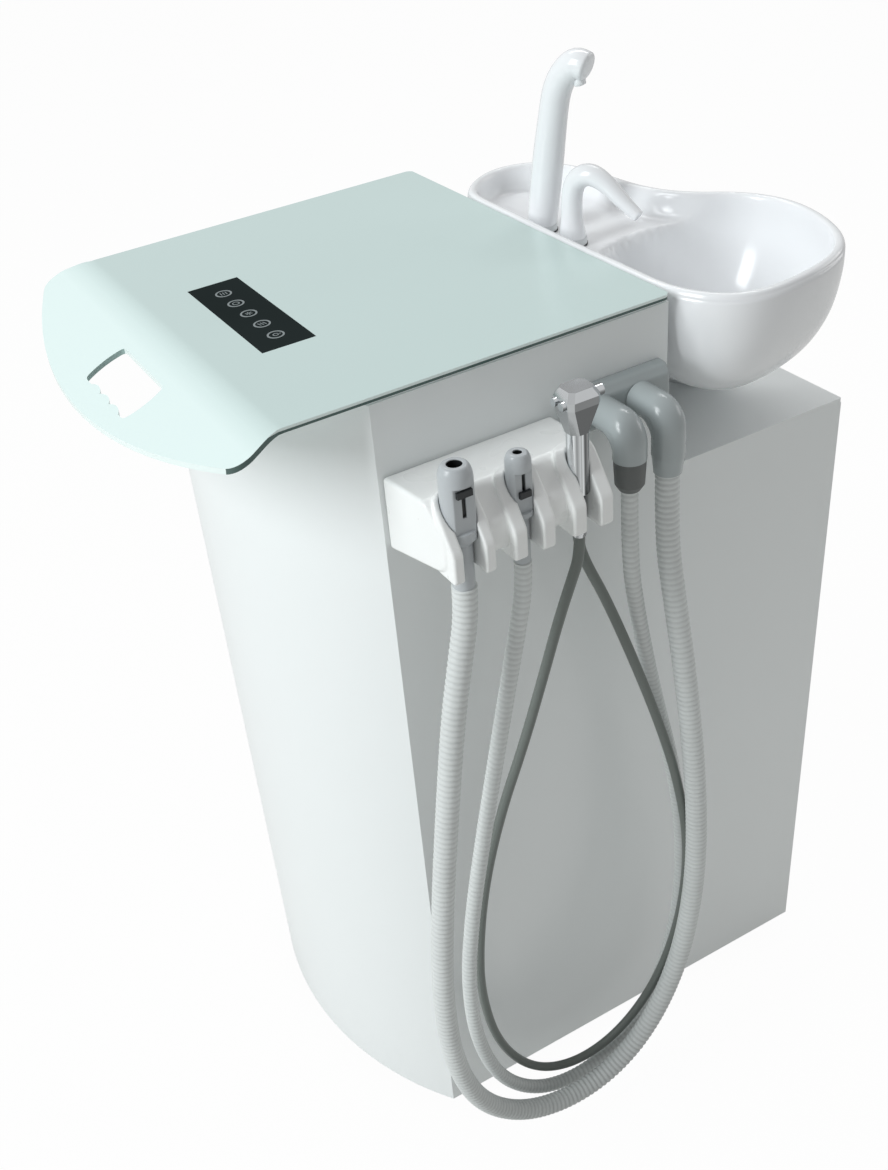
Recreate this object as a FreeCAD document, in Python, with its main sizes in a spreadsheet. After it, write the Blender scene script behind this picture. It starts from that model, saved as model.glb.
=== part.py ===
import FreeCAD, Part
import math
import operator
import os

import Sketcher
from FreeCAD import Placement, Rotation, Vector

# Portable dental unit: a cabinet on hidden swivel casters with a bent glass worktop, a ceramic
# spittoon bowl with two spouts, and an instrument side with two suction handpieces and a
# three-way syringe. Pieces are drawn from the middle of the cabinet and then set in the unit's
# frame, whose origin is on the floor under the middle of the whole unit: +X is the instrument
# side, -Y the curved front with the pull handle, +Z up. All lengths in millimetres.

SIZES = {
    # cabinet
    "half_width": 191,          # middle of the cabinet to the outer face of a side panel
    "front_corner": 175,        # origin to the crisp front corners, towards the front
    "front_bulge": 65,          # how far the curved front stands out before the corners
    "tall_rear": 77,            # rear face of the tall part under the glass
    "cabinet_rear": 264,        # rear face of the low part under the bowl
    "ground_gap": 18,           # floor to the lower edge of the panels
    "low_height": 668,          # floor to the deck under the bowl
    "glass_height": 818,        # floor to the top of the glass
    "panel_wall": 4,            # thickness of the cabinet panels
    "sheet_wall": 3,            # thickness of base plate, shelf and worktop tray
    "deck_wall": 4,             # thickness of the low deck
    "base_height": 60,          # floor to the underside of the base plate
    "shelf_height": 380,        # floor to the underside of the shelf
    "inner_gap": 0.5,           # clearance between an inner plate and the curved front
    "post_leg": 20,             # leg of the corner angles
    "post_wall": 2,
    "wall_lap": 28,             # how far the rear wall of the tall part reaches below the deck
    # worktop
    "glass_wall": 4,
    "glass_lap": 2.5,           # overhang of the glass beyond the side panels
    "bend_line": 247,           # origin to the line where the flap starts to slope
    "bend_radius": 42,
    "flap_angle": 22,           # slope of the flap in degrees
    "flap_front": 328,          # origin to the foremost point of the flap
    "flap_bow": 46.4,           # how far the flap's curved front stands out before its corners
    "flap_shift": -9,           # middle of the flap's curve, from the cabinet's middle
    "flap_left_lap": 20,        # side panel to the flap's flared left side
    "flap_right_lap": 10,
    "flap_flare": 20,           # bend line to where the flare ends
    "flap_corner": 14,
    "rear_corner": 6,
    "slot_middle": 18,          # middle of the handle cut-out, towards the instrument side
    "slot_curve": 46,           # radius of the cut-out's bowed ends
    "slot_rear": 274.5,         # origin to the cut-out's straight edge, towards the front
    "slot_front": 309.5,
    "finger_radius": 18,        # one of the three lobes between the fingers
    "finger_lift": 3,
    "finger_pitch": 21,
    "window_length": 148,
    "window_width": 44,
    "window_wall": 0.6,
    "window_offset": 7,         # middle of the window, towards the instrument side
    "window_rear": 159,         # origin to the window's rear edge, towards the front
    # instrument holder
    "holder_drop": 62,          # top of the glass to the holder's top
    "holder_height": 62,        # holder's top to its lower edge on the side panel
    "holder_reach": 72,         # side panel to the nose between the forks
    "fork_reach": 80,           # side panel to the fork tips
    "holder_left": 172,
    "holder_right": 30,
    "cradle_reach": 61,         # side panel to the axis of the cradles
    "cradle_first": 147,        # origin to the first cradle, towards the front
    "cradle_pitch": 49,
    "collar_radius": 17,
    "collar_lift": 3,           # how far the collar stands above the holder's top
    "fork_drop": 55,            # holder's top to the foot of the forks
    "tip_drop": 27,             # holder's top to the top of the fork tips
    "seat_drop": 34,            # holder's top to where a cradle's cone ends in its lower bore
    "seat_gap": 0.3,            # clearance round an instrument in its cradle
    "fork_play": 0.4,           # clearance of an instrument's tail between the forks
    # suction handpieces
    "hve_radius": 12.2,
    "hve_tail": 8.3,
    "hve_rise": 62,             # seat to the top of the handpiece
    "hve_stem": 36.5,           # seat down to the end of its tail
    "hve_bore": 5.55,
    "se_radius": 9.3,
    "se_tail": 6,
    "se_rise": 53,
    "se_stem": 36,
    "se_bore": 3.3,
    "bore_depth": 30,
    "flat_depth": 3,            # how deep the valve's flat is cut into the barrel
    "valve_slot": 3,            # width of the slot that guides the slider's stem
    "valve_sink": 2.2,          # depth of that slot
    "valve_play": 0.15,
    "knob_width": 12,
    "knob_height": 5,
    "knob_lift": 2.6,
    # three-way syringe
    "grip_radius": 8,
    "grip_tail": 5.5,
    "grip_rise": 52,
    "grip_stem": 34,
    "head_height": 34,
    "head_half_x": 12,
    "head_half_y": 13.5,
    "nozzle_radius": 4.2,
    "nozzle_length": 7,
    "nozzle_bore": 2.2,
    "button_radius": 3.2,
    "button_play": 0.05,
    "button_sink": 7,
    "button_lift": 2.8,
    # hose ports
    "block_left": 20,           # origin to the block's front end, towards the front
    "block_right": 69,
    "block_drop": 49,           # top of the glass to the block's top
    "block_height": 34,
    "block_reach": 15,
    "elbow_drop": 18,           # block's top to the axis of the sockets
    "elbow_radius": 12.6,
    "outer_bend": 13.2,         # bend radius that shapes the elbow's full outer corner
    "inner_bend": 24,           # bend radius of its softer inner corner
    "elbow_reach": 49,          # side panel to the vertical axis of the elbows
    "elbow_first": 5,
    "elbow_pitch": 35,
    "spigot_radius": 9,
    "spigot_length": 8,
    "fit_gap": 0.05,            # radial clearance of a plug-in fit
    "se_cuff_drop": 24.5,       # elbow axis to the top of the cuff
    "se_cuff_length": 25.5,
    "hve_cuff_drop": 33,
    "hve_cuff_length": 15,
    "hve_hose": 9.5,            # outer radii of the hoses
    "se_hose": 6.7,
    "syringe_tube": 4.3,
    "gland_radius": 6.5,
    "gland_length": 9,
    # spittoon
    "bowl_x": 132,              # middle of the basin, towards the instrument side
    "bowl_reach": 95,           # rear face of the tall part to the middle of the basin
    "bowl_height": 150,         # deck to the rim
    "bowl_wall": 9,
    "floor_lift": 50,           # deck to the floor of the basin
    "ledge_drop": 22,           # rim to the ledge that carries the spouts
    "foot_radius": 28,
    "foot_left": 62,            # middle of the basin to the middle of the foot
    "foot_back": 30,
    "drain_radius": 20,
    "drain_sink": 9,            # floor of the basin to the bottom of the drain's cup
    "channel_radius": 9,        # sloping channel from the drain's cup to the foot
    "tail_radius": 16,
    "tail_entry": 6,            # how far the drain tail reaches into the foot
    "tail_length": 66,
    "strainer_radius": 24,
    "strainer_wall": 2,
    "spout_x": -25.5,
    "spout_reach": 35.5,        # rear face of the tall part to the axes of the spouts
    "spout_radius": 12.8,
    "spout_rise": 134,          # foot of the tall spout to the middle of its head
    "rinse_x": 19.5,
    "rinse_radius": 12,
    "rinse_rise": 54.5,
    "spout_turn": 25,           # direction of both spouts, degrees from +X
    "seal_wall": 1.5,
    "collar_wall": 5,
    # casters
    "caster_x": 138,
    "caster_front": 140,
    "caster_rear": 214,
    "wheel_radius": 22,
    "wheel_width": 18,
    "caster_trail": 16,
    "axle_radius": 3,
    "kingpin_radius": 5,
    "fork_wall": 3,
    "running_gap": 0.05,
    "side_gap": 1,
    # machinery
    "bottle_gap": 56,           # deck to the cap of the clean-water bottle
    # rear fittings
    "inlet_x": -120,
    "inlet_z": 110,
    "switch_x": -60,
    "drain_x": 120,
    "water_x": 70,
    "port_z": 110,
    "outlet_reach": 32,         # rear face to the end of the drain outlet
    "louvre_length": 110,
    "louvre_height": 5,
    "louvre_pitch": 16,
}

doc = FreeCAD.newDocument("portable_dental_unit")
sheet = doc.addObject("Spreadsheet::Sheet", "sizes")
for row, (alias, number) in enumerate(SIZES.items(), start=1):
    sheet.set("A%d" % row, alias)
    sheet.set("B%d" % row, str(number))
    sheet.setAlias("B%d" % row, alias)
doc.recompute()


# ---- sizes that carry both their number and their spreadsheet expression ----

OPERATIONS = {"+": operator.add, "-": operator.sub, "*": operator.mul, "/": operator.truediv}


class Dim:
    """A number together with the expression that gives it from the sheet."""

    def __init__(self, number, text):
        self.number = number
        self.text = text

    def joined(self, sign, other, swap=False):
        pair = [self, as_dim(other)]
        if swap:
            pair.reverse()
        number = OPERATIONS[sign](pair[0].number, pair[1].number)
        return Dim(number, "(%s %s %s)" % (pair[0].text, sign, pair[1].text))

    def __add__(self, other):
        return self.joined("+", other)

    def __radd__(self, other):
        return self.joined("+", other, swap=True)

    def __sub__(self, other):
        return self.joined("-", other)

    def __rsub__(self, other):
        return self.joined("-", other, swap=True)

    def __mul__(self, other):
        return self.joined("*", other)

    def __rmul__(self, other):
        return self.joined("*", other, swap=True)

    def __truediv__(self, other):
        return self.joined("/", other)

    def __neg__(self):
        return self.joined("*", -1)

    def __float__(self):
        return float(self.number)


def as_dim(thing):
    if isinstance(thing, Dim):
        return thing
    return Dim(float(thing), "%.9g" % thing)


class Sizes:
    """Every cell of the sheet as an attribute."""


d = Sizes()
for alias in SIZES:
    setattr(d, alias, Dim(float(sheet.get(alias)), "sizes." + alias))


def bind(item, **dims):
    for name, dim in dims.items():
        item.setExpression(name, as_dim(dim).text)
    return item


def place(item, x=0, y=0, z=0, rotation=None):
    if rotation is not None:
        item.Placement = Placement(Vector(0, 0, 0), rotation)
    for name, dim in (("x", x), ("y", y), ("z", z)):
        item.setExpression("Placement.Base." + name, as_dim(dim).text)
    return item


# ---- primitives, booleans and profiles ----

AXES = {
    "x": Rotation(Vector(0, 1, 0), 90),
    "y": Rotation(Vector(1, 0, 0), -90),
    "z": Rotation(),
}


def box(x, y, z, name="block"):
    """A block between two limits on each axis."""
    made = doc.addObject("Part::Box", name)
    low = [as_dim(limits[0]) for limits in (x, y, z)]
    span = [as_dim(limits[1]) - as_dim(limits[0]) for limits in (x, y, z)]
    bind(made, Length=span[0], Width=span[1], Height=span[2])
    return place(made, *low)


def cylinder(radius, height, x, y, z, axis="z", name="round"):
    """A cylinder that starts at a point and runs along a positive axis."""
    made = doc.addObject("Part::Cylinder", name)
    bind(made, Radius=radius, Height=height)
    return place(made, x, y, z, AXES[axis])


def cone(low_radius, high_radius, height, x, y, z, axis="z", name="taper"):
    made = doc.addObject("Part::Cone", name)
    bind(made, Radius1=low_radius, Radius2=high_radius, Height=height)
    return place(made, x, y, z, AXES[axis])


def fuse(parts, name="joined"):
    made = doc.addObject("Part::MultiFuse", name)
    made.Shapes = parts
    made.Refine = True
    return made


def common(parts, name="shared"):
    made = doc.addObject("Part::MultiCommon", name)
    made.Shapes = parts
    return made


def cut(base, tools, name="cut"):
    """The base less its tools, which are fused first where there are several."""
    made = doc.addObject("Part::Cut", name)
    made.Base = base
    made.Tool = tools[0] if len(tools) == 1 else fuse(tools)
    return made


def vertical(edge, x=None, y=None):
    """True for an upright edge, where wanted one at a certain distance from the middle."""
    first, last = edge.Vertexes[0].Point, edge.Vertexes[-1].Point
    upright = math.hypot(first.x - last.x, first.y - last.y) < 0.01 and abs(first.z - last.z) > 0.1
    near_x = x is None or abs(abs(first.x) - float(x)) < 0.2
    near_y = y is None or abs(first.y - float(y)) < 0.2
    return upright and near_x and near_y


def rounded(base, radius, chosen, name="rounded"):
    """The base with the chosen edges rounded."""
    doc.recompute()
    made = doc.addObject("Part::Fillet", name)
    made.Base = base
    numbers = [place_ + 1 for place_, edge in enumerate(base.Shape.Edges) if chosen(edge)]
    made.Edges = [(number, float(radius), float(radius)) for number in numbers]
    return made


PLANES = {"xy": "XY_Plane", "xz": "XZ_Plane", "yz": "YZ_Plane"}


def origin_plane(body, plane):
    return next(item for item in body.Origin.OriginFeatures if item.Role == PLANES[plane])


def sketch_on(body, plane, offset):
    sketch = body.newObject("Sketcher::SketchObject", "outline")
    sketch.AttachmentSupport = [(origin_plane(body, plane), "")]
    sketch.MapMode = "FlatFace"
    sketch.setExpression("AttachmentOffset.Base.z", as_dim(offset).text)
    return sketch


def draw_polygon(sketch, points):
    """A closed outline whose every corner is held by two distances from the sketch origin."""
    count = len(points)
    first = sketch.GeometryCount
    corners = [Vector(float(u), float(v), 0) for u, v in points]
    for index in range(count):
        sketch.addGeometry(Part.LineSegment(corners[index], corners[(index + 1) % count]), False)
    for index in range(count):
        after = first + (index + 1) % count
        sketch.addConstraint(Sketcher.Constraint("Coincident", first + index, 2, after, 1))
    for index, (u, v) in enumerate(points):
        for kind, dim in (("DistanceX", as_dim(u)), ("DistanceY", as_dim(v))):
            rule = Sketcher.Constraint(kind, -1, 1, first + index, 1, float(dim))
            number = sketch.addConstraint(rule)
            sketch.setExpression("Constraints[%d]" % number, dim.text)


def new_body(name="profile"):
    return doc.addObject("PartDesign::Body", name)


def pad(points, plane, low, high, body=None):
    """A profile drawn on an origin plane and padded between two limits along its normal axis."""
    body = body or new_body()
    low, high = as_dim(low), as_dim(high)
    sketch = sketch_on(body, plane, -high if plane == "xz" else low)
    draw_polygon(sketch, points)
    made = body.newObject("PartDesign::Pad", "pad")
    made.Profile = sketch
    bind(made, Length=high - low)
    doc.recompute()
    return body


def turned(points, x, y, name="turned"):
    """A profile of (radius, height) corners revolved about a vertical axis through x, y."""
    body = new_body(name)
    sketch = sketch_on(body, "xz", 0)
    draw_polygon(sketch, points)
    made = body.newObject("PartDesign::Revolution", "revolution")
    made.Profile = sketch
    made.ReferenceAxis = (sketch, ["V_Axis"])
    made.Angle = 360
    place(body, x, y, 0)
    doc.recompute()
    return body


def shape_feature(shape, name="surface"):
    made = doc.addObject("Part::Feature", name)
    made.Shape = shape
    return made


nodes = {}


def node(label, item):
    """Sets a finished sub-part in the unit's frame and names it; its label names its file."""
    made = doc.addObject("Part::Compound", "piece")
    made.Links = [item]
    place(made, -unit_x, -unit_y)
    made.Label = label
    nodes[label] = made
    return made


# ---- levels and curves that several pieces share ----

# middle of the whole unit, from the middle of the cabinet
flap_left = d.half_width + d.flap_left_lap
flap_right = d.half_width + d.flap_right_lap
unit_x = (d.half_width + d.fork_reach - flap_left) / 2
unit_y = (d.cabinet_rear + d.outlet_reach - d.flap_front) / 2

panel_inner = d.half_width - d.panel_wall
front_radius = (d.half_width * d.half_width + d.front_bulge * d.front_bulge) / (2 * d.front_bulge)
front_centre = front_radius - d.front_corner - d.front_bulge
glass_bottom = d.glass_height - d.glass_wall
tray_bottom = glass_bottom - d.sheet_wall
deck_bottom = d.low_height - d.deck_wall
base_top = d.base_height + d.sheet_wall
shelf_top = d.shelf_height + d.sheet_wall
holder_top = d.glass_height - d.holder_drop
holder_foot = holder_top - d.holder_height
fork_foot = holder_top - d.fork_drop
fork_tip = holder_top - d.tip_drop
seat_height = holder_top - d.seat_drop
hve_top = seat_height + d.hve_rise
se_top = seat_height + d.se_rise
grip_top = seat_height + d.grip_rise
block_top = d.glass_height - d.block_drop
block_foot = block_top - d.block_height
elbow_height = block_top - d.elbow_drop
bowl_y = d.tall_rear + d.bowl_reach
basin_floor = d.low_height + d.floor_lift
foot_x = d.bowl_x - d.foot_left
foot_y = bowl_y + d.foot_back
rim_z = d.low_height + d.bowl_height
ledge_z = rim_z - d.ledge_drop
BIG = 400


def front_sector(radius, z):
    """The part of a round disc that lies in front of the cabinet's front corners."""
    disc = cylinder(radius, z[1] - z[0], 0, front_centre, z[0])
    return common([disc, box((-BIG, BIG), (-BIG, -d.front_corner), z)])


# ---- cabinet panels ----

def make_front_panel():
    """Curved sheet from corner to corner, from the ground gap to the worktop tray."""
    z = (d.ground_gap, tray_bottom)
    outer = front_sector(front_radius, z)
    inner = cylinder(front_radius - d.panel_wall, z[1] - z[0], 0, front_centre, z[0])
    return node("front_panel", cut(outer, [inner]))


def make_side_panel(label, low, high):
    """L-shaped sheet: high beside the worktop, low beside the bowl's deck."""
    points = [
        (-d.front_corner, d.ground_gap),
        (d.cabinet_rear, d.ground_gap),
        (d.cabinet_rear, deck_bottom),
        (d.tall_rear, deck_bottom),
        (d.tall_rear, tray_bottom),
        (-d.front_corner, tray_bottom),
    ]
    return node(label, pad(points, "yz", low, high))


def make_tall_rear_wall():
    x = (-panel_inner, panel_inner)
    y = (d.tall_rear - d.panel_wall, d.tall_rear)
    return node("tall_rear_wall", box(x, y, (d.low_height - d.wall_lap, tray_bottom)))


def make_low_deck():
    """Lid of the low part; the bowl's drain passes through it."""
    z = (deck_bottom, d.low_height)
    lid = box((-d.half_width, d.half_width), (d.tall_rear, d.cabinet_rear), z)
    soft = rounded(lid, 1.5, lambda edge: vertical(edge, d.half_width, d.cabinet_rear))
    hole = cylinder(d.tail_radius + 3, d.deck_wall, foot_x, foot_y, deck_bottom)
    return node("low_deck", cut(soft, [hole]))


def make_rear_panel():
    """Sheet with two columns of louvre slots and the cut-outs of the rear fittings."""
    body = new_body()
    points = [
        (-panel_inner, d.ground_gap),
        (panel_inner, d.ground_gap),
        (panel_inner, deck_bottom),
        (-panel_inner, deck_bottom),
    ]
    low, high = d.cabinet_rear - d.panel_wall, d.cabinet_rear
    pad(points, "xz", low, high, body)
    slots = sketch_on(body, "xz", -high)
    for middle in (-panel_inner / 2, panel_inner / 2):
        half = d.louvre_length / 2
        foot = d.shelf_height + 60
        draw_polygon(slots, [
            (middle - half, foot),
            (middle + half, foot),
            (middle + half, foot + d.louvre_height),
            (middle - half, foot + d.louvre_height),
        ])
    pocket = body.newObject("PartDesign::Pocket", "louvres")
    pocket.Profile = slots
    pocket.Reversed = True
    bind(pocket, Length=d.panel_wall)
    doc.recompute()
    whole = float(panel_inner * 2 * (deck_bottom - d.ground_gap) * d.panel_wall)
    if pocket.Shape.Volume > whole - 1:
        pocket.Reversed = False
        doc.recompute()
    pattern = body.newObject("PartDesign::LinearPattern", "louvre_rows")
    pattern.Originals = [pocket]
    pattern.Direction = (slots, ["V_Axis"])
    pattern.Occurrences = 8
    bind(pattern, Length=d.louvre_pitch * 7)
    body.Tip = pattern
    doc.recompute()
    through = (low - 1, high + 1)
    inlet = box((d.inlet_x - 14, d.inlet_x + 14), through, (d.inlet_z - 10, d.inlet_z + 10))
    switch = box((d.switch_x - 11, d.switch_x + 11), through, (d.inlet_z - 14, d.inlet_z + 14))
    drain = cylinder(9, d.panel_wall + 2, d.drain_x, low - 1, d.port_z, "y")
    water = cylinder(5, d.panel_wall + 2, d.water_x, low - 1, d.port_z, "y")
    return node("rear_panel", cut(body, [inlet, switch, drain, water]))


def inner_plate(z, reach):
    """A plate that fills the cabinet in plan: straight sides and a front that follows the curve."""
    front = front_sector(front_radius - d.panel_wall - d.inner_gap, z)
    sides = box((-panel_inner, panel_inner), (-BIG, BIG), z)
    rear = box((-panel_inner, panel_inner), (-d.front_corner, reach), z)
    return fuse([common([front, sides]), rear])


def make_base_plate():
    plate = inner_plate((d.base_height, base_top), d.cabinet_rear - d.panel_wall)
    return node("base_plate", plate)


def make_worktop_tray():
    """Closing plate under the glass, set in a little from the panels' outer faces."""
    z = (tray_bottom, glass_bottom)
    front = front_sector(front_radius - 1, z)
    rear = box((1 - d.half_width, d.half_width - 1), (-d.front_corner, d.tall_rear - 1), z)
    sides = box((1 - d.half_width, d.half_width - 1), (-BIG, BIG), z)
    return node("worktop_tray", fuse([common([front, sides]), rear]))


def angle_post(x_side, y, z, inward):
    """One corner angle, its legs against a side panel and facing along the cabinet."""
    outer_x = x_side * panel_inner
    inner_x = x_side * (panel_inner - d.post_leg)
    web_x = x_side * (panel_inner - d.post_wall)
    x_limits = sorted((outer_x, inner_x), key=float)
    web_limits = sorted((outer_x, web_x), key=float)
    y_leg = sorted((y, y + inward * d.post_leg), key=float)
    y_web = sorted((y, y + inward * d.post_wall), key=float)
    return fuse([box(web_limits, y_leg, z), box(x_limits, y_web, z)])


def make_corner_posts():
    posts = []
    for side in (-1, 1):
        posts.append(angle_post(side, 10 - d.front_corner, (base_top, tray_bottom), 1))
        rear = d.cabinet_rear - d.panel_wall
        posts.append(angle_post(side, rear, (base_top, deck_bottom), -1))
    return node("corner_posts", fuse(posts))


def make_shelf():
    """Plate between the side panels, clear of the corner posts."""
    low = d.post_leg + 20 - d.front_corner
    high = d.cabinet_rear - d.panel_wall - d.post_leg - 10
    z = (d.shelf_height, shelf_top)
    return node("shelf", box((-panel_inner, panel_inner), (low, high), z))


# ---- worktop ----

def glass_profile():
    """Bent section: flat top, then the flap's slope, both of the glass's thickness."""
    slope = math.radians(float(d.flap_angle))
    drop = math.tan(slope)
    mitre = math.tan(slope / 2)
    reach = d.flap_front - d.bend_line + 20
    return [
        (d.tall_rear, d.glass_height),
        (-d.bend_line, d.glass_height),
        (-d.bend_line - reach, d.glass_height - reach * drop),
        (-d.bend_line - reach, d.glass_height - reach * drop - d.glass_wall / math.cos(slope)),
        (-d.bend_line + d.glass_wall * mitre, glass_bottom),
        (d.tall_rear, glass_bottom),
    ]


def bend_edge(edge):
    """True for the two long edges where the sheet bends."""
    first, last = edge.Vertexes[0].Point, edge.Vertexes[-1].Point
    along_x = abs(first.y - last.y) < 0.01 and abs(first.z - last.z) < 0.01
    near = abs(first.y + float(d.bend_line)) < 3 and first.z > float(glass_bottom) - 1
    return along_x and near


def flap_outline():
    """Plan of the glass: straight sides that flare a little where the flap begins."""
    half = d.half_width + d.glass_lap
    flare = -d.bend_line - d.flap_flare
    return [
        (-half, d.tall_rear),
        (-half, 4 - d.bend_line),
        (-flap_left, flare),
        (-flap_left, -BIG),
        (flap_right, -BIG),
        (flap_right, flare),
        (half, 4 - d.bend_line),
        (half, d.tall_rear),
    ]


def flap_corner_edge(edge):
    """True for the upright edges where the flap's front meets its sides."""
    front = float(d.bend_line + d.flap_flare)
    return vertical(edge) and edge.Vertexes[0].Point.y < 1 - front


def make_handle_slot(z):
    """Cut-out with a straight rear edge, bowed ends and three finger lobes."""
    middle = d.slot_middle
    band = box((middle - 60, middle + 60), (-d.slot_front, -d.slot_rear), z)
    centre = -(d.slot_front + d.slot_rear) / 2
    ends = cylinder(d.slot_curve, z[1] - z[0], middle, centre, z[0])
    opening = rounded(common([band, ends]), 5, vertical)
    lobes = []
    for index in (-1, 0, 1):
        x = middle + 2 + index * d.finger_pitch
        y = -d.slot_front + d.finger_lift - d.finger_radius
        lobes.append(cylinder(d.finger_radius, z[1] - z[0], x, y, z[0]))
    return cut(opening, lobes)


def make_glass_top():
    """Bent glass sheet with a D-shaped flap, a handle cut-out and a recess for the window."""
    wide = d.half_width + 40
    bent = rounded(pad(glass_profile(), "yz", -wide, wide), d.bend_radius, bend_edge)
    tall = (d.glass_height - 150, d.glass_height + 50)
    half = (flap_left + flap_right) / 2
    curve = (half * half + d.flap_bow * d.flap_bow) / (2 * d.flap_bow)
    disc = cylinder(curve, 200, d.flap_shift, curve - d.flap_front, tall[0])
    plan = common([disc, pad(flap_outline(), "xy", *tall)])
    plan = rounded(plan, d.rear_corner, lambda edge: vertical(edge, None, d.tall_rear))
    plan = rounded(plan, d.flap_corner, flap_corner_edge)
    sheet_shape = common([bent, plan])
    recess_z = (d.glass_height - d.window_wall, d.glass_height + 1)
    recess = box(window_x(0), window_y(0), recess_z)
    slot = make_handle_slot((d.glass_height - 100, d.glass_height + 1))
    return node("glass_top", cut(sheet_shape, [slot, recess]))


def window_x(gap):
    half = d.window_length / 2 - gap
    return (d.window_offset - half, d.window_offset + half)


def window_y(gap):
    return (-d.window_rear - d.window_width + gap, -d.window_rear - gap)


def make_touch_window():
    z = (d.glass_height - d.window_wall, d.glass_height)
    return node("touch_window", box(window_x(0.1), window_y(0.1), z))


def make_control_board():
    """Circuit board under the tray, on four pillars, behind the touch window."""
    pillar_z = (tray_bottom - 8, tray_bottom)
    board_z = (tray_bottom - 9.6, tray_bottom - 8)
    chip_z = (tray_bottom - 16, tray_bottom - 9.6)
    x, y = window_x(4), window_y(2)
    parts = [box(x, y, board_z)]
    for corner_x in (x[0] + 6, x[1] - 6):
        for corner_y in (y[0] + 6, y[1] - 6):
            parts.append(cylinder(3, 8, corner_x, corner_y, pillar_z[0]))
    parts.append(box((x[0] + 20, x[0] + 50), (y[0] + 10, y[1] - 10), chip_z))
    parts.append(box((x[1] - 45, x[1] - 20), (y[0] + 12, y[1] - 12), chip_z))
    return node("control_board", fuse(parts))


# ---- instrument holder ----

cradle_x = d.half_width + d.cradle_reach


def cradle_y(index):
    return index * d.cradle_pitch - d.cradle_first


INSTRUMENTS = [
    # barrel radius, tail radius
    (d.hve_radius, d.hve_tail),
    (d.se_radius, d.se_tail),
    (d.grip_radius, d.grip_tail),
]


def cone_height(barrel, tail):
    """Height of the 50-degree seat between an instrument's tail and its barrel."""
    return (barrel - tail) * 1.2


def holder_edge(edge):
    """True for the long edges along the holder's nose."""
    first, last = edge.Vertexes[0].Point, edge.Vertexes[-1].Point
    along_y = abs(first.x - last.x) < 0.01 and abs(first.z - last.z) < 0.01
    return along_y and first.x > float(d.half_width) + 10


def make_holder():
    """White moulding with three forked cradles: each a collar open to the front by a slot."""
    wall = d.half_width
    nose = wall + d.holder_reach
    side = [
        (wall, holder_foot),
        (nose - 8, fork_foot + 4),
        (nose, fork_foot + 12),
        (nose, fork_tip + 4),
        (nose - 22, holder_top),
        (wall, holder_top - 2),
    ]
    plan = [
        (wall, -d.holder_left),
        (nose + 1, -d.holder_left + 7),
        (nose + 1, -d.holder_right),
        (wall, -d.holder_right),
    ]
    low, high = holder_foot - 5, holder_top + 20
    side_body = rounded(pad(side, "xz", -d.holder_left, -d.holder_right), 3.5, holder_edge)
    body = common([side_body, pad(plan, "xy", low, high)])
    tip = wall + d.fork_reach
    envelope = [
        (cradle_x - d.collar_radius - 2, fork_foot),
        (tip - 1.5, fork_foot),
        (tip, fork_foot + 1.5),
        (tip, fork_tip - 3),
        (tip - 2, fork_tip),
        (cradle_x - 6, holder_top + d.collar_lift),
        (cradle_x - d.collar_radius - 2, holder_top + d.collar_lift),
    ]
    collars = []
    for index in range(3):
        y = cradle_y(index)
        height = high - fork_foot
        collars.append(cylinder(d.collar_radius, height, cradle_x, y, fork_foot))
        y_limits = (y - d.collar_radius, y + d.collar_radius)
        collars.append(box((cradle_x, tip), y_limits, (fork_foot, high)))
    y_all = (cradle_y(0) - d.collar_radius - 1, cradle_y(2) + d.collar_radius + 1)
    forks = common([fuse(collars), pad(envelope, "xz", *y_all)])
    bores = []
    for index, (barrel, tail) in enumerate(INSTRUMENTS):
        y = cradle_y(index)
        wide, narrow = barrel + d.seat_gap, tail + d.seat_gap
        rise = cone_height(barrel, tail)
        seat_top = seat_height + rise
        bores.append(cylinder(wide, 80, cradle_x, y, seat_top))
        bores.append(cone(narrow, wide, rise, cradle_x, y, seat_height))
        bores.append(cylinder(narrow, 60, cradle_x, y, seat_height - 60))
        gap = tail + d.fork_play
        bores.append(box((cradle_x, tip + 5), (y - gap, y + gap), (low, high)))
    return node("instrument_holder", cut(fuse([body, forks]), bores))


# ---- suction handpieces ----

def handpiece_profile(barrel, tail, foot, top):
    """Outline from the tail's end over the seat cone and the barrel to the rounded nose."""
    seat = seat_height + d.seat_gap
    rise = cone_height(barrel, tail)
    return [
        (0, foot),
        (tail, foot),
        (tail, seat),
        (barrel, seat + rise),
        (barrel, top - barrel * 0.7),
        (barrel * 0.9, top - barrel * 0.28),
        (barrel * 0.72, top),
        (0, top),
    ]


def make_handpiece(label, index, barrel, foot, top, bore, slot_low, slot_high):
    """Grey suction handpiece: tip bore from above, a flat with a guide slot towards +X."""
    tail = INSTRUMENTS[index][1]
    y = cradle_y(index)
    body = turned(handpiece_profile(barrel, tail, foot, top), cradle_x, y)
    flat_x = cradle_x + barrel - d.flat_depth
    flat = box((flat_x, flat_x + 10), (y - barrel, y + barrel), (slot_low - 12, slot_high + 2))
    slot_x = (flat_x - d.valve_sink, flat_x + 1)
    slot_y = (y - d.valve_slot / 2, y + d.valve_slot / 2)
    slot = box(slot_x, slot_y, (slot_low, slot_high))
    hole = cylinder(bore, d.bore_depth, cradle_x, y, top - d.bore_depth)
    mouth = cone(bore, bore + 1.2, 1.2, cradle_x, y, top - 1.2)
    return node(label, cut(body, [flat, slot, hole, mouth]))


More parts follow.
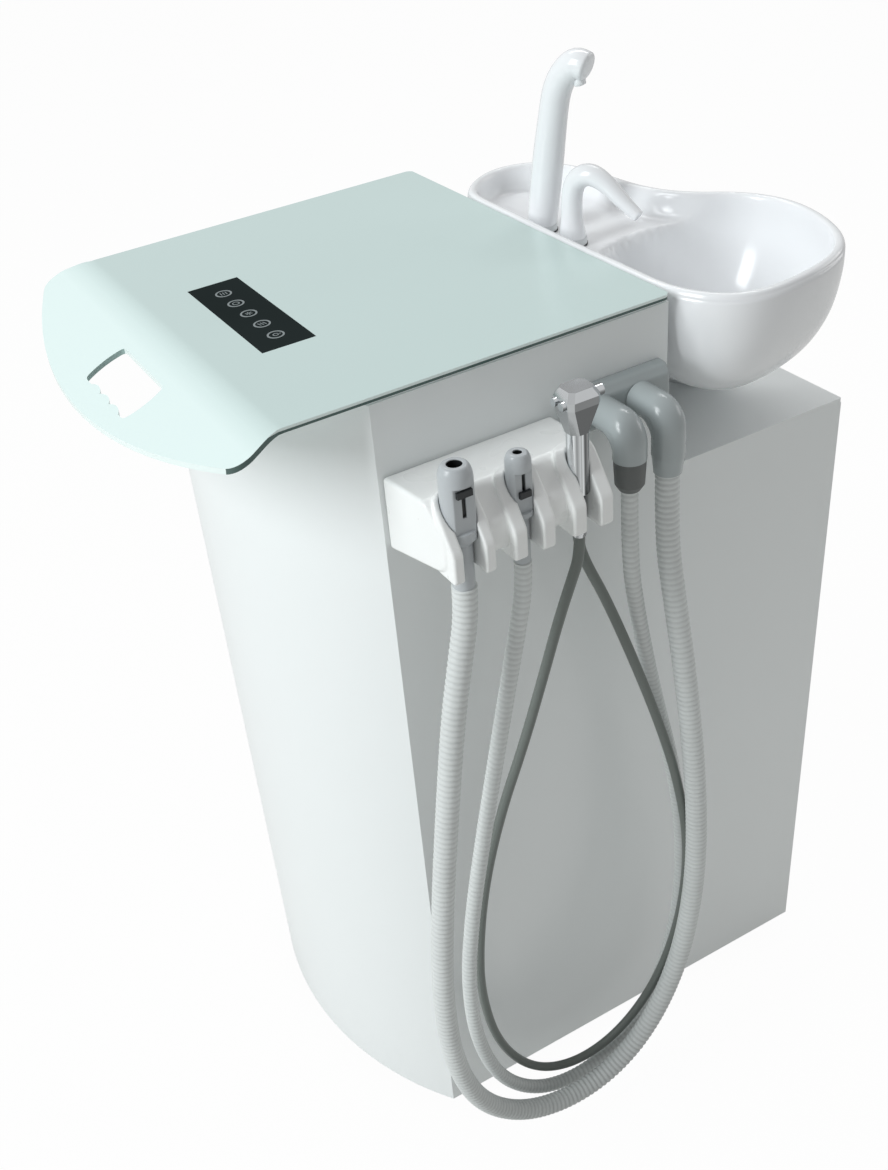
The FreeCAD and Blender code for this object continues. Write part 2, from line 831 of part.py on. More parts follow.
def make_slider(label, index, barrel, knob_low, stem):
    """Valve slider: a cross bar on a stem that runs in the handpiece's slot."""
    y = cradle_y(index)
    flat_x = cradle_x + barrel - d.flat_depth
    knob_x = (flat_x, flat_x + d.knob_lift)
    half = d.knob_width / 2 * barrel / d.hve_radius
    knob = box(knob_x, (y - half, y + half), (knob_low, knob_low + d.knob_height))
    stem_x = (flat_x - d.valve_sink + d.valve_play, flat_x)
    stem_half = d.valve_slot / 2 - d.valve_play
    return node(label, fuse([knob, box(stem_x, (y - stem_half, y + stem_half), stem)]))


HVE_SLOT = (hve_top - 38, hve_top - 16)
SE_SLOT = (se_top - 33, se_top - 15)


def make_suction_instruments():
    make_handpiece(
        "hve_handpiece", 0, d.hve_radius, seat_height - d.hve_stem, hve_top, d.hve_bore, *HVE_SLOT)
    knob = HVE_SLOT[1] - d.knob_height
    make_slider("hve_slider", 0, d.hve_radius, knob, (knob, knob + d.knob_height - 0.5))
    make_handpiece("se_handpiece", 1, d.se_radius, seat_height - d.se_stem, se_top, d.se_bore, *SE_SLOT)
    knob = SE_SLOT[0] + 0.5
    make_slider("se_slider", 1, d.se_radius, knob, (knob, knob + d.knob_height - 0.5))


# ---- three-way syringe ----

def octagon(half_x, half_y, chamfer, z):
    """Closed octagonal wire about the syringe's axis at one height."""
    ring = [
        (half_x, half_y - chamfer), (half_x - chamfer, half_y),
        (chamfer - half_x, half_y), (-half_x, half_y - chamfer),
        (-half_x, chamfer - half_y), (chamfer - half_x, -half_y),
        (half_x - chamfer, -half_y), (half_x, chamfer - half_y),
    ]
    centre = Vector(float(cradle_x), float(cradle_y(2)), z)
    points = [centre + Vector(x, y, 0) for x, y in ring]
    return Part.makePolygon(points + points[:1])


def make_syringe():
    """Chrome grip, faceted head, nozzle nut towards +Y and two buttons towards -Y."""
    y = cradle_y(2)
    seat = seat_height + d.seat_gap
    foot = seat_height - d.grip_stem
    rise = cone_height(d.grip_radius, d.grip_tail)
    grip = [
        (0, foot),
        (d.grip_tail - 0.6, foot),
        (d.grip_tail, foot + 3),
        (d.grip_tail, seat),
        (d.grip_radius, seat + rise),
        (d.grip_radius, grip_top),
        (0, grip_top),
    ]
    node("syringe_grip", turned(grip, cradle_x, y))
    low = float(grip_top)
    high = low + float(d.head_height)
    neck = float(d.grip_radius)
    half_x, half_y = float(d.head_half_x), float(d.head_half_y)
    wires = [
        octagon(neck, neck, neck * 0.58, low),
        octagon(half_x, half_y, neck * 0.45, high - 12),
        octagon(half_x, half_y, neck * 0.45, high - 6),
        octagon(half_x * 0.72, half_y * 0.75, neck * 0.4, high),
    ]
    head = shape_feature(Part.makeLoft(wires, True, True))
    bores = []
    for side in (-1, 1):
        start = y - d.head_half_y - 1
        x = cradle_x + side * BUTTON_X
        radius = d.button_radius + d.button_play
        bores.append(cylinder(radius, d.button_sink + 1, x, start, button_z, "y"))
    node("syringe_head", cut(head, bores))
    outer = cylinder(d.nozzle_radius, d.nozzle_length, cradle_x, y + d.head_half_y, button_z, "y")
    length = d.nozzle_length
    bore = cylinder(d.nozzle_bore, length, cradle_x, y + d.head_half_y, button_z, "y")
    node("nozzle_nut", cut(outer, [bore]))
    for label, side in (("air_button", -1), ("water_button", 1)):
        start = y - d.head_half_y - d.button_lift
        length = d.button_lift + d.button_sink - 2.5
        x = cradle_x + side * BUTTON_X
        node(label, cylinder(d.button_radius, length, x, start, button_z, "y"))


BUTTON_X = 4.6
button_z = grip_top + d.head_height - 9


# ---- hose ports ----

def elbow_y(index):
    return d.elbow_first + index * d.elbow_pitch


elbow_x = d.half_width + d.elbow_reach


def make_port_block():
    """Grey moulding on the side panel with two sockets for the elbows."""
    wall = d.half_width
    face = wall + d.block_reach
    profile = [
        (wall, block_foot),
        (face - 3, block_foot),
        (face, block_foot + 3),
        (face, block_top - 8),
        (face - 6, block_top - 1),
        (wall, block_top),
    ]
    block = pad(profile, "xz", -d.block_left, d.block_right)
    soft = rounded(block, 4, lambda edge: vertical(edge, face, d.block_right))
    sockets = []
    for index in range(2):
        start = face - d.spigot_length
        radius = d.spigot_radius + d.fit_gap
        sockets.append(
            cylinder(radius, d.spigot_length + 1, start, elbow_y(index), elbow_height, "x"))
    return node("hose_port_block", cut(soft, sockets))


def elbow_bend(y, bend, radius):
    """A quarter bend down from the socket's axis."""
    made = doc.addObject("Part::Torus", "bend")
    bind(made, Radius1=bend, Radius2=radius)
    made.Angle3 = 90
    turn = Rotation(Vector(1, 0, 0), 90)
    return place(made, elbow_x - bend, y, elbow_height - bend, turn)


def make_elbow(label, index, cuff_label, cuff, low_radius):
    """Grey elbow with a full outer corner, from the block down to a rubber cuff on the hose."""
    y = elbow_y(index)
    cuff_top = elbow_height - cuff[0]
    face = d.half_width + d.block_reach
    start = face - d.spigot_length
    outer_x = elbow_x - d.outer_bend
    outer_z = elbow_height - d.outer_bend
    parts = [
        cylinder(d.spigot_radius, d.spigot_length, start, y, elbow_height, "x"),
        cylinder(d.elbow_radius, outer_x - face, face, y, elbow_height, "x"),
        elbow_bend(y, d.outer_bend, d.elbow_radius),
        elbow_bend(y, d.inner_bend, d.elbow_radius - 0.4),
        cylinder(d.elbow_radius, outer_z - cuff_top, elbow_x, y, cuff_top),
    ]
    node(label, fuse(parts))
    foot = cuff_top - cuff[1]
    profile = [
        (0, foot),
        (low_radius, foot),
        (d.elbow_radius - 1.4, foot + 5),
        (d.elbow_radius - 0.3, cuff_top),
        (0, cuff_top),
    ]
    node(cuff_label, turned(profile, elbow_x, y))


def make_tube_gland():
    """Short gland under the holder where the syringe's tube comes out."""
    nose = d.half_width + d.holder_reach - 8
    share = (gland_x - d.half_width) / (nose - d.half_width)
    top = holder_foot + share * (fork_foot + 4 - holder_foot)
    body = cylinder(d.gland_radius, d.gland_length + 6, gland_x, gland_y, top - d.gland_length)
    under = box((gland_x - 20, gland_x + 20), (gland_y - 20, gland_y + 20), (top - 1.5, top + 20))
    return node("tube_gland", cut(body, [under]))


gland_x = d.half_width + 41
gland_y = -d.holder_right - 7


# ---- hoses ----

HVE_ROUTE = [
    (252, -147, 685.5), (252, -147, 662), (254, -156, 625), (258, -169, 576), (262, -184, 490),
    (265, -199, 392),
    (267, -209, 290), (268, -206, 196), (268, -184, 118), (268, -138, 64), (268, -80, 44),
    (268, -24, 57), (268, 20, 104), (268, 50, 180), (268, 62, 280), (267, 58, 390),
    (261, 49, 500), (250, 42, 590), (240, 40, 646), (240, 40, 703),
]
SE_ROUTE = [
    (252, -98, 686), (252, -98, 664), (251, -104, 630), (249, -113, 584), (247, -128, 510),
    (246, -145, 430),
    (246, -162, 346), (246, -173, 262), (246, -170, 176), (246, -148, 98), (246, -104, 46),
    (245, -48, 32), (243, 6, 54), (241, 47, 112), (240, 68, 200), (239, 69, 300),
    (239, 54, 400), (239, 32, 490), (239, 14, 580), (240, 5, 640), (240, 5, 701),
]
TUBE_ROUTE = [
    (252, -49, 688), (252, -49, 670), (248, -55, 645), (243, -63, 612), (237, -74, 562),
    (233, -93, 496),
    (231, -118, 430), (230, -137, 362), (230, -149, 290), (230, -153, 214), (232, -140, 130),
    (236, -105, 68), (242, -58, 50), (248, -8, 72), (252, 34, 128), (254, 58, 208),
    (254, 64, 300), (252, 50, 390), (250, 28, 470), (246, 4, 546), (240, -18, 612),
    (234, -33, 650), (232, -37, 672), (232, -37, 691),
]


def hose_path(points):
    """Straight runs joined by the largest tangent arcs that each pair of runs allows."""
    corners = [Vector(*point) for point in points]
    edges = []
    radii = []
    start = corners[0]
    for before, here, after in zip(corners, corners[1:], corners[2:]):
        arriving = (here - before).normalize()
        leaving = (after - here).normalize()
        half_turn = arriving.getAngle(leaving) / 2
        tangent = 0.45 * min((here - before).Length, (after - here).Length)
        radius = tangent / math.tan(half_turn)
        inward = (leaving - arriving).normalize()
        centre = here + inward * (radius / math.cos(half_turn))
        arc_start = here - arriving * tangent
        arc_end = here + leaving * tangent
        edges.append(Part.LineSegment(start, arc_start).toShape())
        edges.append(Part.Arc(arc_start, centre - inward * radius, arc_end).toShape())
        radii.append(radius)
        start = arc_end
    edges.append(Part.LineSegment(start, corners[-1]).toShape())
    return Part.Wire(edges), radii


def make_hose(label, radius, route):
    """A plain round hose along its route, with its length, radii and volume reported."""
    path, radii = hose_path(route)
    direction = Vector(*route[1]) - Vector(*route[0])
    rim = Part.Circle(Vector(*route[0]), direction, float(radius)).toShape()
    tube = path.makePipe(Part.Face(Part.Wire([rim])))
    section = math.pi * float(radius) ** 2
    share = tube.Volume / (section * path.Length)
    print("%s: length %.0f, least radius %.0f, volume share %.4f"
          % (label, path.Length, min(radii), share))
    return node(label, shape_feature(tube))


# ---- spittoon bowl ----

# outer edge of the rim in plan, from the middle of the basin: the round basin lobe, the waist
# at the back and the ledge lobe with the spouts
RIM = [
    (18, -92.5), (51, -90), (71, -83), (89, -71), (100, -54), (104, -30), (102, -6), (95, 25),
    (81, 54), (60, 74), (32, 88), (2, 96), (-27, 96.5), (-52, 89), (-72, 76), (-94, 55),
    (-124, 38), (-162, 31), (-202, 28), (-236, 19), (-265, -4), (-272, -32), (-260, -64),
    (-236, -86), (-192, -92), (-112, -93), (-42, -93),
]
# upper edge of the basin in plan, inside the rim
BASIN = [
    (18, -84), (48, -81.5), (67, -75), (82, -64), (92, -50), (96, -29), (94, -7), (87.5, 22),
    (74.5, 49), (55.5, 67.5), (29.5, 80), (1, 88), (-25, 88), (-48, 81.5), (-68, 68), (-85, 45),
    (-94, 18), (-96, -12), (-88, -42), (-70, -67), (-42, -80), (-12, -84),
]
# share of the height from rim to deck, share of the rim, and how far the ledge lobe draws in
HULL_LEVELS = [
    (0, 1.0, 1.0), (0.093, 1.004, 1.0), (0.2, 0.99, 0.97), (0.32, 0.955, 0.93),
    (0.427, 0.895, 0.88), (0.533, 0.80, 0.83), (0.613, 0.69, 0.80), (0.667, 0.59, 0.79),
    (0.707, 0.48, 0.79), (0.74, 0.36, 0.80), (0.76, 0.26, 0.80),
]
# share of the basin's depth and share of its upper edge
BASIN_LEVELS = [
    (1.0, 0.34), (0.94, 0.50), (0.80, 0.68), (0.60, 0.83), (0.40, 0.925), (0.22, 0.975),
    (0.10, 0.99), (-0.02, 1.0),
]
# the neck under the hull: share of the height from rim to deck, share of the way from the
# middle of the basin to the foot, and share of the foot's radius
NECK_LEVELS = [(1.0, 1.0, 1.0), (0.947, 0.93, 1.02), (0.853, 0.63, 1.18), (0.76, 0.33, 1.36),
               (0.68, 0.22, 1.43)]


def ring(points, z, share=1.0, lobe=1.0):
    """Closed smooth wire at one height through plan points about the middle of the basin."""
    curve = Part.BSplineCurve()
    middle = Vector(float(d.bowl_x), float(bowl_y), z)
    spots = [middle + Vector(share * (x * lobe if x < 0 else x), share * y, 0) for x, y in points]
    curve.interpolate(spots, PeriodicFlag=True)
    return Part.Wire([curve.toShape()])


def inset(points, distance):
    """The closed outline moved inwards, square to itself."""
    moved = []
    count = len(points)
    for index, (x, y) in enumerate(points):
        before = points[index - 1]
        after = points[(index + 1) % count]
        along = Vector(after[0] - before[0], after[1] - before[1], 0).normalize()
        moved.append((x - along.y * distance, y + along.x * distance))
    return moved


def make_bowl():
    """Ceramic bowl: a full hull, a neck that slopes to its foot, a ledge and a deep basin."""
    top = float(rim_z)
    deck = float(d.low_height)
    wall = float(d.bowl_wall)
    drop = float(d.ledge_drop)
    hull = Part.makeLoft([
        ring(RIM, top - level * (top - deck), share, lobe)
        for level, share, lobe in reversed(HULL_LEVELS)
    ], True, False)
    tray = Part.makeLoft([
        ring(inset(RIM, wall + 8), top - drop),
        ring(inset(RIM, wall + 3), top - drop * 0.7),
        ring(inset(RIM, wall), top),
        ring(inset(RIM, wall - 1), top + 2),
    ], True, False)
    depth = top - float(basin_floor)
    basin = Part.makeLoft([
        ring(BASIN, top - level * depth, share) for level, share in BASIN_LEVELS
    ], True, False)
    middle = Vector(float(d.bowl_x), float(bowl_y), 0)
    aside = Vector(float(foot_x), float(foot_y), 0) - middle
    up = Vector(0, 0, 1)
    circles = []
    for level, way, share in NECK_LEVELS:
        centre = middle + aside * way + up * (top - level * (top - deck))
        circle = Part.Circle(centre, up, share * float(d.foot_radius))
        circles.append(Part.Wire([circle.toShape()]))
    neck = Part.makeLoft(circles, True, False)
    cup_z = float(basin_floor - d.drain_sink)
    drain = Part.makeCylinder(float(d.drain_radius), top - cup_z, middle + up * cup_z)
    start = middle + aside + up * deck
    course = middle + aside * 0.15 + up * (cup_z + 5) - start
    channel = Part.makeCylinder(float(d.channel_radius), course.Length, start, course)
    socket = Part.makeCylinder(
        float(d.tail_radius + d.seat_gap), float(d.tail_entry + d.seat_gap), start)
    seat_z = float(basin_floor) - 1
    seat = Part.makeCylinder(float(d.strainer_radius + d.seat_gap), 20, middle + up * seat_z)
    bowl = hull.fuse(neck).cut(tray).cut(basin).cut(drain).cut(seat).cut(channel).cut(socket)
    return node("spittoon_bowl", shape_feature(bowl))


def make_strainer():
    """Perforated disc that lies in the seat round the drain and lifts out for cleaning."""
    z = basin_floor - 1 + d.seat_gap
    disc = cylinder(d.strainer_radius, d.strainer_wall, d.bowl_x, bowl_y, z)
    knob = cylinder(3, 6, d.bowl_x, bowl_y, z + d.strainer_wall)
    holes = []
    for index in range(8):
        angle = math.radians(45 * index)
        x = d.bowl_x + 14 * math.cos(angle)
        y = bowl_y + 14 * math.sin(angle)
        holes.append(cylinder(3, d.strainer_wall, x, y, z))
    return node("bowl_strainer", cut(fuse([disc, knob]), holes))


def make_drain_tail():
    """Threaded tail of the drain with its clamping nut under the deck."""
    length = d.tail_length
    foot = d.low_height + d.tail_entry - length
    pipe = cylinder(d.tail_radius, length, foot_x, foot_y, foot)
    nut = cylinder(d.tail_radius + 10, 8, foot_x, foot_y, deck_bottom - 8)
    bore = cylinder(d.tail_radius - 3, length + 2, foot_x, foot_y, foot - 1)
    return node("drain_tail", cut(fuse([pipe, nut]), [bore]))


# ---- spouts ----

SECTIONS = 26


def spout(base, turn, stations):
    """A round spout skinned over sections along a smooth (reach, rise, radius) course."""
    course = Part.BSplineCurve()
    course.interpolate([Vector(*station) for station in stations])
    direction = Vector(math.cos(turn), math.sin(turn), 0)
    sideways = Vector(-math.sin(turn), math.cos(turn), 0)
    wires = []
    for index in range(SECTIONS):
        place_ = course.FirstParameter + index / (SECTIONS - 1) * course.LastParameter
        reach, rise, radius = course.value(place_)
        along = course.tangent(place_)[0]
        lean = math.degrees(math.atan2(along.x, along.y)) if index else 0
        circle = Part.Circle(Vector(0, 0, 0), Vector(0, 0, 1), radius).toShape()
        leaning = Rotation(sideways, lean) * Rotation(Vector(0, 0, 1), math.degrees(turn))
        circle.Placement = Placement(base + Vector(0, 0, rise) + direction * reach, leaning)
        wires.append(Part.Wire([circle]))
    return Part.makeLoft(wires, True, True)


def make_spouts():
    """Tall cup-filler and short bowl-rinse spout, each on a collar with a thin dark seal."""
    turn = math.radians(float(d.spout_turn))
    y = d.tall_rear + d.spout_reach
    collar_z = ledge_z + d.seal_wall
    foot = collar_z + d.collar_wall
    thick = float(d.spout_radius)
    rise = float(d.spout_rise) / 134
    tall = [
        (0, 0, 1.0), (4, 28, 1.03), (8, 56, 1.03), (11, 76, 0.99), (14.5, 97, 0.945),
        (20, 118, 0.94), (28, 130, 0.94), (37, 135.5, 0.94), (45, 134, 0.90),
    ]
    tall = [(reach, height * rise, share * thick) for reach, height, share in tall]
    base = Vector(float(d.spout_x), float(y), float(foot))
    body = spout(base, turn, tall)
    direction = Vector(math.cos(turn), math.sin(turn), 0)
    tip = base + direction * 37 + Vector(0, 0, 130 * rise)
    nozzle = Part.makeCylinder(4, 15, tip, direction * 0.2 - Vector(0, 0, 1))
    node("cup_filler_spout", shape_feature(body.fuse(nozzle)))
    slim = float(d.rinse_radius)
    share = float(d.rinse_rise) / 54.5
    short = [
        (0, 0, 1.0), (0, 6, 0.91), (0, 14, 0.80), (0.1, 26, 0.73), (1, 38, 0.73), (5.5, 49, 0.75),
        (15, 54.5, 0.75), (27, 52, 0.67), (43, 40, 0.55), (61, 26, 0.41),
    ]
    short = [(reach, height * share, part * slim) for reach, height, part in short]
    low = Vector(float(d.rinse_x), float(y), float(foot))
    node("bowl_rinse_spout", shape_feature(spout(low, turn, short)))
    axes = [(d.spout_x, d.spout_radius), (d.rinse_x, d.rinse_radius)]
    seals = [cylinder(radius + 0.8, d.seal_wall, x, y, ledge_z) for x, radius in axes]
    node("spout_seals", fuse(seals))
    collars = [cylinder(radius + 0.3, d.collar_wall, x, y, collar_z) for x, radius in axes]
    node("spout_collars", fuse(collars))


# ---- casters ----

CASTERS = [
    ("front_right", 1, -d.caster_front),
    ("front_left", -1, -d.caster_front),
    ("rear_right", 1, d.caster_rear),
    ("rear_left", -1, d.caster_rear),
]


def make_caster_mounts():
    """Four plates under the base, each with a headed kingpin."""
    parts = []
    plate_z = (d.base_height - d.fork_wall, d.base_height)
    for _, side, y in CASTERS:
        x = side * d.caster_x
        parts.append(box((x - 22, x + 22), (y - 22, y + 22), plate_z))
        crown_bottom = crown_top - d.fork_wall
        pin_foot = crown_bottom - 3
        parts.append(cylinder(d.kingpin_radius, plate_z[0] - pin_foot, x, y, pin_foot))
        parts.append(cylinder(d.kingpin_radius + 3, 2.7, x, y, pin_foot))
    return node("caster_mounts", fuse(parts))


crown_top = d.base_height - d.fork_wall - 0.3


def make_caster(label, side, y):
    """Swivel fork with its axle, and the wheel that runs on it."""
    x = side * d.caster_x
    half = d.wheel_width / 2 + d.side_gap
    wheel_y = y + d.caster_trail
    crown_z = (crown_top - d.fork_wall, crown_top)
    crown = cylinder(half + d.fork_wall, d.fork_wall, x, y, crown_z[0])
    bridge = box((x - half - d.fork_wall, x + half + d.fork_wall), (y, wheel_y + 6), crown_z)
    parts = [crown, bridge]
    for edge in (x - half - d.fork_wall, x + half):
        leg = [
            (y - 8, crown_z[1]),
            (wheel_y - 6, d.wheel_radius - 4),
            (wheel_y + 6, d.wheel_radius - 4),
            (wheel_y + 6, crown_z[1]),
        ]
        parts.append(pad(leg, "yz", edge, edge + d.fork_wall))
    span = 2 * (half + d.fork_wall)
    start = x - half - d.fork_wall
    parts.append(cylinder(d.axle_radius, span, start, wheel_y, d.wheel_radius, "x"))
    hole = cylinder(d.kingpin_radius + d.running_gap, 20, x, y, crown_z[0] - 5)
    node("caster_fork_" + label, cut(fuse(parts), [hole]))
    tyre = cylinder(
        d.wheel_radius, d.wheel_width, x - d.wheel_width / 2, wheel_y, d.wheel_radius, "x")
    soft = rounded(tyre, 3, lambda edge: edge.Length > 100)
    bore = cylinder(
        d.axle_radius + d.running_gap, d.wheel_width, x - d.wheel_width / 2, wheel_y,
        d.wheel_radius, "x")
    dishes = []
    for low in (x - d.wheel_width / 2, x + d.wheel_width / 2 - 3):
        dish = cylinder(d.wheel_radius - 6, 3, low, wheel_y, d.wheel_radius, "x")
        hub = cylinder(d.axle_radius + 4, 3, low, wheel_y, d.wheel_radius, "x")
        dishes.append(cut(dish, [hub]))
    node("caster_wheel_" + label, cut(soft, [bore] + dishes))


# ---- inner machinery ----

def make_vacuum_pump():
    """Side-channel blower: motor with end bells, a wide ring housing and two feet."""
    z = base_top + 66
    parts = [
        cylinder(52, 120, -95, -110, z, "y"),
        cylinder(40, 14, -95, -124, z, "y"),
        cylinder(66, 46, -95, 10, z, "y"),
        box((-150, -40), (-95, -70), (base_top, z - 30)),
        box((-150, -40), (20, 45), (base_top, z - 30)),
        cylinder(14, 60, -60, 33, z + 30),
        cylinder(14, 60, -130, 33, z + 30),
    ]
    return node("vacuum_pump", fuse(parts))


def make_compressor():
    """Oil-free compressor: motor between two cylinder heads, on a base rail."""
    z = base_top + 60
    parts = [
        cylinder(42, 150, 88, -120, z, "y"),
        box((58, 118), (-135, -105), (z - 20, z + 85)),
        box((58, 118), (15, 45), (z - 20, z + 85)),
        box((48, 128), (-140, 50), (base_top, base_top + 12)),
        box((78, 98), (-110, -80), (base_top + 12, z - 30)),
        box((78, 98), (-10, 20), (base_top + 12, z - 30)),
    ]
    return node("air_compressor", fuse(parts))


def make_water_bottle():
    """Clean-water bottle with a shoulder and a screw cap, standing on the shelf."""
    top = deck_bottom - d.bottle_gap
    profile = [
        (0, shelf_top), (58, shelf_top), (60, shelf_top + 3), (60, top - 60), (28, top - 30),
        (28, top - 20), (31, top - 20), (31, top), (0, top),
    ]
    return node("clean_water_bottle", turned(profile, -105, 160))


def make_waste_tank():
    """Waste tank under the bowl's drain, its inlet neck just below the drain tail."""
    tail_end = d.low_height + d.tail_entry - d.tail_length
    body = box((foot_x - 45, foot_x + 75), (foot_y - 92, foot_y + 26), (shelf_top, tail_end - 20))
    soft = rounded(body, 12, lambda edge: vertical(edge))
    neck = cylinder(d.tail_radius + 6, 20, foot_x, foot_y, tail_end - 20)
    bore = cylinder(d.tail_radius, 16, foot_x, foot_y, tail_end - 16)
    return node("waste_tank", cut(fuse([soft, neck]), [bore]))


def make_separator():
    """Suction separator: a canister with a lid and two hose stubs towards the port block."""
    lid_z = shelf_top + 150
    parts = [
        cylinder(46, 150, 120, -10, shelf_top),
        cylinder(49, 12, 120, -10, lid_z),
        cylinder(9, 30, 105, -10, lid_z + 12),
        cylinder(9, 30, 135, -10, lid_z + 12),
    ]
    return node("suction_separator", fuse(parts))


def make_power_supply():
    parts = [
        box((-160, -60), (-120, 40), (shelf_top, shelf_top + 70)),
        box((-150, -70), (40, 48), (shelf_top + 10, shelf_top + 40)),
    ]
    return node("power_supply", fuse(parts))


# ---- rear fittings ----

def make_power_inlet():
    """Appliance inlet: flange on the rear face, shroud through the panel, three flat pins."""
    x, z, rear = d.inlet_x, d.inlet_z, d.cabinet_rear
    flange = box((x - 24, x + 24), (rear, rear + 3), (z - 14, z + 14))
    shroud = box((x - 13.8, x + 13.8), (rear - 22, rear), (z - 9.8, z + 9.8))
    hollow = box((x - 11.5, x + 11.5), (rear - 18, rear + 4), (z - 7.5, z + 7.5))
    shell = cut(fuse([flange, shroud]), [hollow])
    pins = []
    for offset, lift in ((-7, -1), (0, 3), (7, -1)):
        pin_x = x + offset
        pin_z = z + lift
        pins.append(box((pin_x - 1, pin_x + 1), (rear - 19, rear - 3), (pin_z - 2, pin_z + 2)))
    return node("power_inlet", fuse([shell] + pins))


def make_power_switch():
    """Rocker switch: a frame clipped in the rear panel and the rocker that tips in it."""
    x, z, rear = d.switch_x, d.inlet_z, d.cabinet_rear
    flange = box((x - 13, x + 13), (rear, rear + 2), (z - 16, z + 16))
    bucket = box((x - 10.8, x + 10.8), (rear - 16, rear), (z - 13.8, z + 13.8))
    hollow = box((x - 9.5, x + 9.5), (rear - 12, rear + 3), (z - 12.5, z + 12.5))
    node("switch_frame", cut(fuse([flange, bucket]), [hollow]))
    rocker = [
        (rear - 7, z - 10.5),
        (rear + 0.5, z - 10.5),
        (rear + 2.2, z),
        (rear + 4.2, z + 10.5),
        (rear - 3, z + 10.5),
    ]
    node("power_rocker", pad(rocker, "yz", x - 9.2, x + 9.2))


def make_pipe_fittings():
    """Drain outlet and push-on water inlet, each with a flange on the rear panel."""
    rear = d.cabinet_rear
    parts = [
        cylinder(14, 5, d.drain_x, rear, d.port_z, "y"),
        cylinder(8.9, 12, d.drain_x, rear - 12, d.port_z, "y"),
        cylinder(8, d.outlet_reach, d.drain_x, rear, d.port_z, "y"),
    ]
    bore = cylinder(6, 60, d.drain_x, rear - 20, d.port_z, "y")
    node("drain_outlet", cut(fuse(parts), [bore]))
    stem = [
        cylinder(9, 6, d.water_x, rear, d.port_z, "y"),
        cylinder(4.9, 12, d.water_x, rear - 12, d.port_z, "y"),
        cylinder(5, 24, d.water_x, rear, d.port_z, "y"),
    ]
    bore = cylinder(2.5, 50, d.water_x, rear - 20, d.port_z, "y")
    node("water_inlet", cut(fuse(stem), [bore]))


def make_panel_screws():
    """Pan-head screws round the rear panel."""
    screws = []
    for x in (12 - panel_inner, panel_inner - 12):
        for z in (d.ground_gap + 20, d.shelf_height, deck_bottom - 15):
            head = cone(4, 2.6, 2.2, x, d.cabinet_rear, z, "y")
            screws.append(head)
    return node("panel_screws", fuse(screws))


# ---- the whole unit ----

make_front_panel()
make_side_panel("right_side_panel", panel_inner, d.half_width)
make_side_panel("left_side_panel", -d.half_width, -panel_inner)
make_tall_rear_wall()
make_low_deck()
make_rear_panel()
make_base_plate()
make_worktop_tray()
make_corner_posts()
make_shelf()
make_glass_top()
make_touch_window()
make_control_board()
make_holder()
make_suction_instruments()
make_syringe()
make_port_block()
make_elbow("se_elbow", 0, "se_cuff", (d.se_cuff_drop, d.se_cuff_length), d.se_hose + 1.5)
make_elbow("hve_elbow", 1, "hve_cuff", (d.hve_cuff_drop, d.hve_cuff_length), d.hve_hose + 1.2)
make_tube_gland()
make_hose("hve_hose", d.hve_hose, HVE_ROUTE)
make_hose("se_hose", d.se_hose, SE_ROUTE)
make_hose("syringe_hose", d.syringe_tube, TUBE_ROUTE)
make_bowl()
make_strainer()
make_drain_tail()
make_spouts()
make_caster_mounts()
for caster in CASTERS:
    make_caster(*caster)
make_vacuum_pump()
make_compressor()
make_water_bottle()
make_waste_tank()
make_separator()
make_power_supply()
make_power_inlet()
make_power_switch()
make_pipe_fittings()
make_panel_screws()
doc.recompute()

for item in doc.Objects:
    if "Invalid" in item.State or "Error" in item.State:
        raise RuntimeError("%s did not compute: %s" % (item.Name, item.State))
for label, item in nodes.items():
    if item.Shape.isNull() or not item.Shape.isValid() or not item.Shape.Solids:
        raise RuntimeError("%s has no valid solid" % label)

os.makedirs("parts", exist_ok=True)
for label, item in nodes.items():
    item.Shape.exportStep("parts/%s.step" % label)
print("%d nodes" % len(nodes))
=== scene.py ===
import math

import bmesh
import bpy
import numpy as np
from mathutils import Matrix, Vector


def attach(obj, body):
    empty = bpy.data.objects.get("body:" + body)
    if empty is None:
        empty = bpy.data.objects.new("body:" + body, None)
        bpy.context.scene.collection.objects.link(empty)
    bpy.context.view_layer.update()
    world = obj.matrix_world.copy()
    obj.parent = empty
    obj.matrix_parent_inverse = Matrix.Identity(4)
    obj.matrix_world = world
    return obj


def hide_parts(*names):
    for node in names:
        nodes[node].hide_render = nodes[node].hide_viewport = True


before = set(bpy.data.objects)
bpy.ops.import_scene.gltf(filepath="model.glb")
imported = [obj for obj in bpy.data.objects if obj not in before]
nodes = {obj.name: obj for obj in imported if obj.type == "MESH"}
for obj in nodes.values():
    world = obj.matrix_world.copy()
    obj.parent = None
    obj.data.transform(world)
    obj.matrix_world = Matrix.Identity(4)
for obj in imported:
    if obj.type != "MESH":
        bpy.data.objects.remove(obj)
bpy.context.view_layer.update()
MM = 0.001


# ---- Studio: a white floor under a tall softbox high in front, a thin strip over the worktop
# and a weak softbox behind, with a camera at standing height before the instrument side. The
# lamps are set so that white enamel stays just under full white.

camera_data = bpy.data.cameras.new("studio_camera")
camera_data.lens = 40.586
camera_data.shift_x = 0.05496
camera_data.shift_y = 0.00362
camera_data.clip_end = 50
camera = bpy.data.objects.new("studio_camera", camera_data)
camera.location = (0.88206, -0.49367, 1.22184)
camera.rotation_euler = [math.radians(angle) for angle in (54.5308, 6.0009, 61.4440)]
bpy.context.scene.collection.objects.link(camera)
bpy.context.scene.camera = camera
bpy.context.scene.view_settings.view_transform = "Standard"


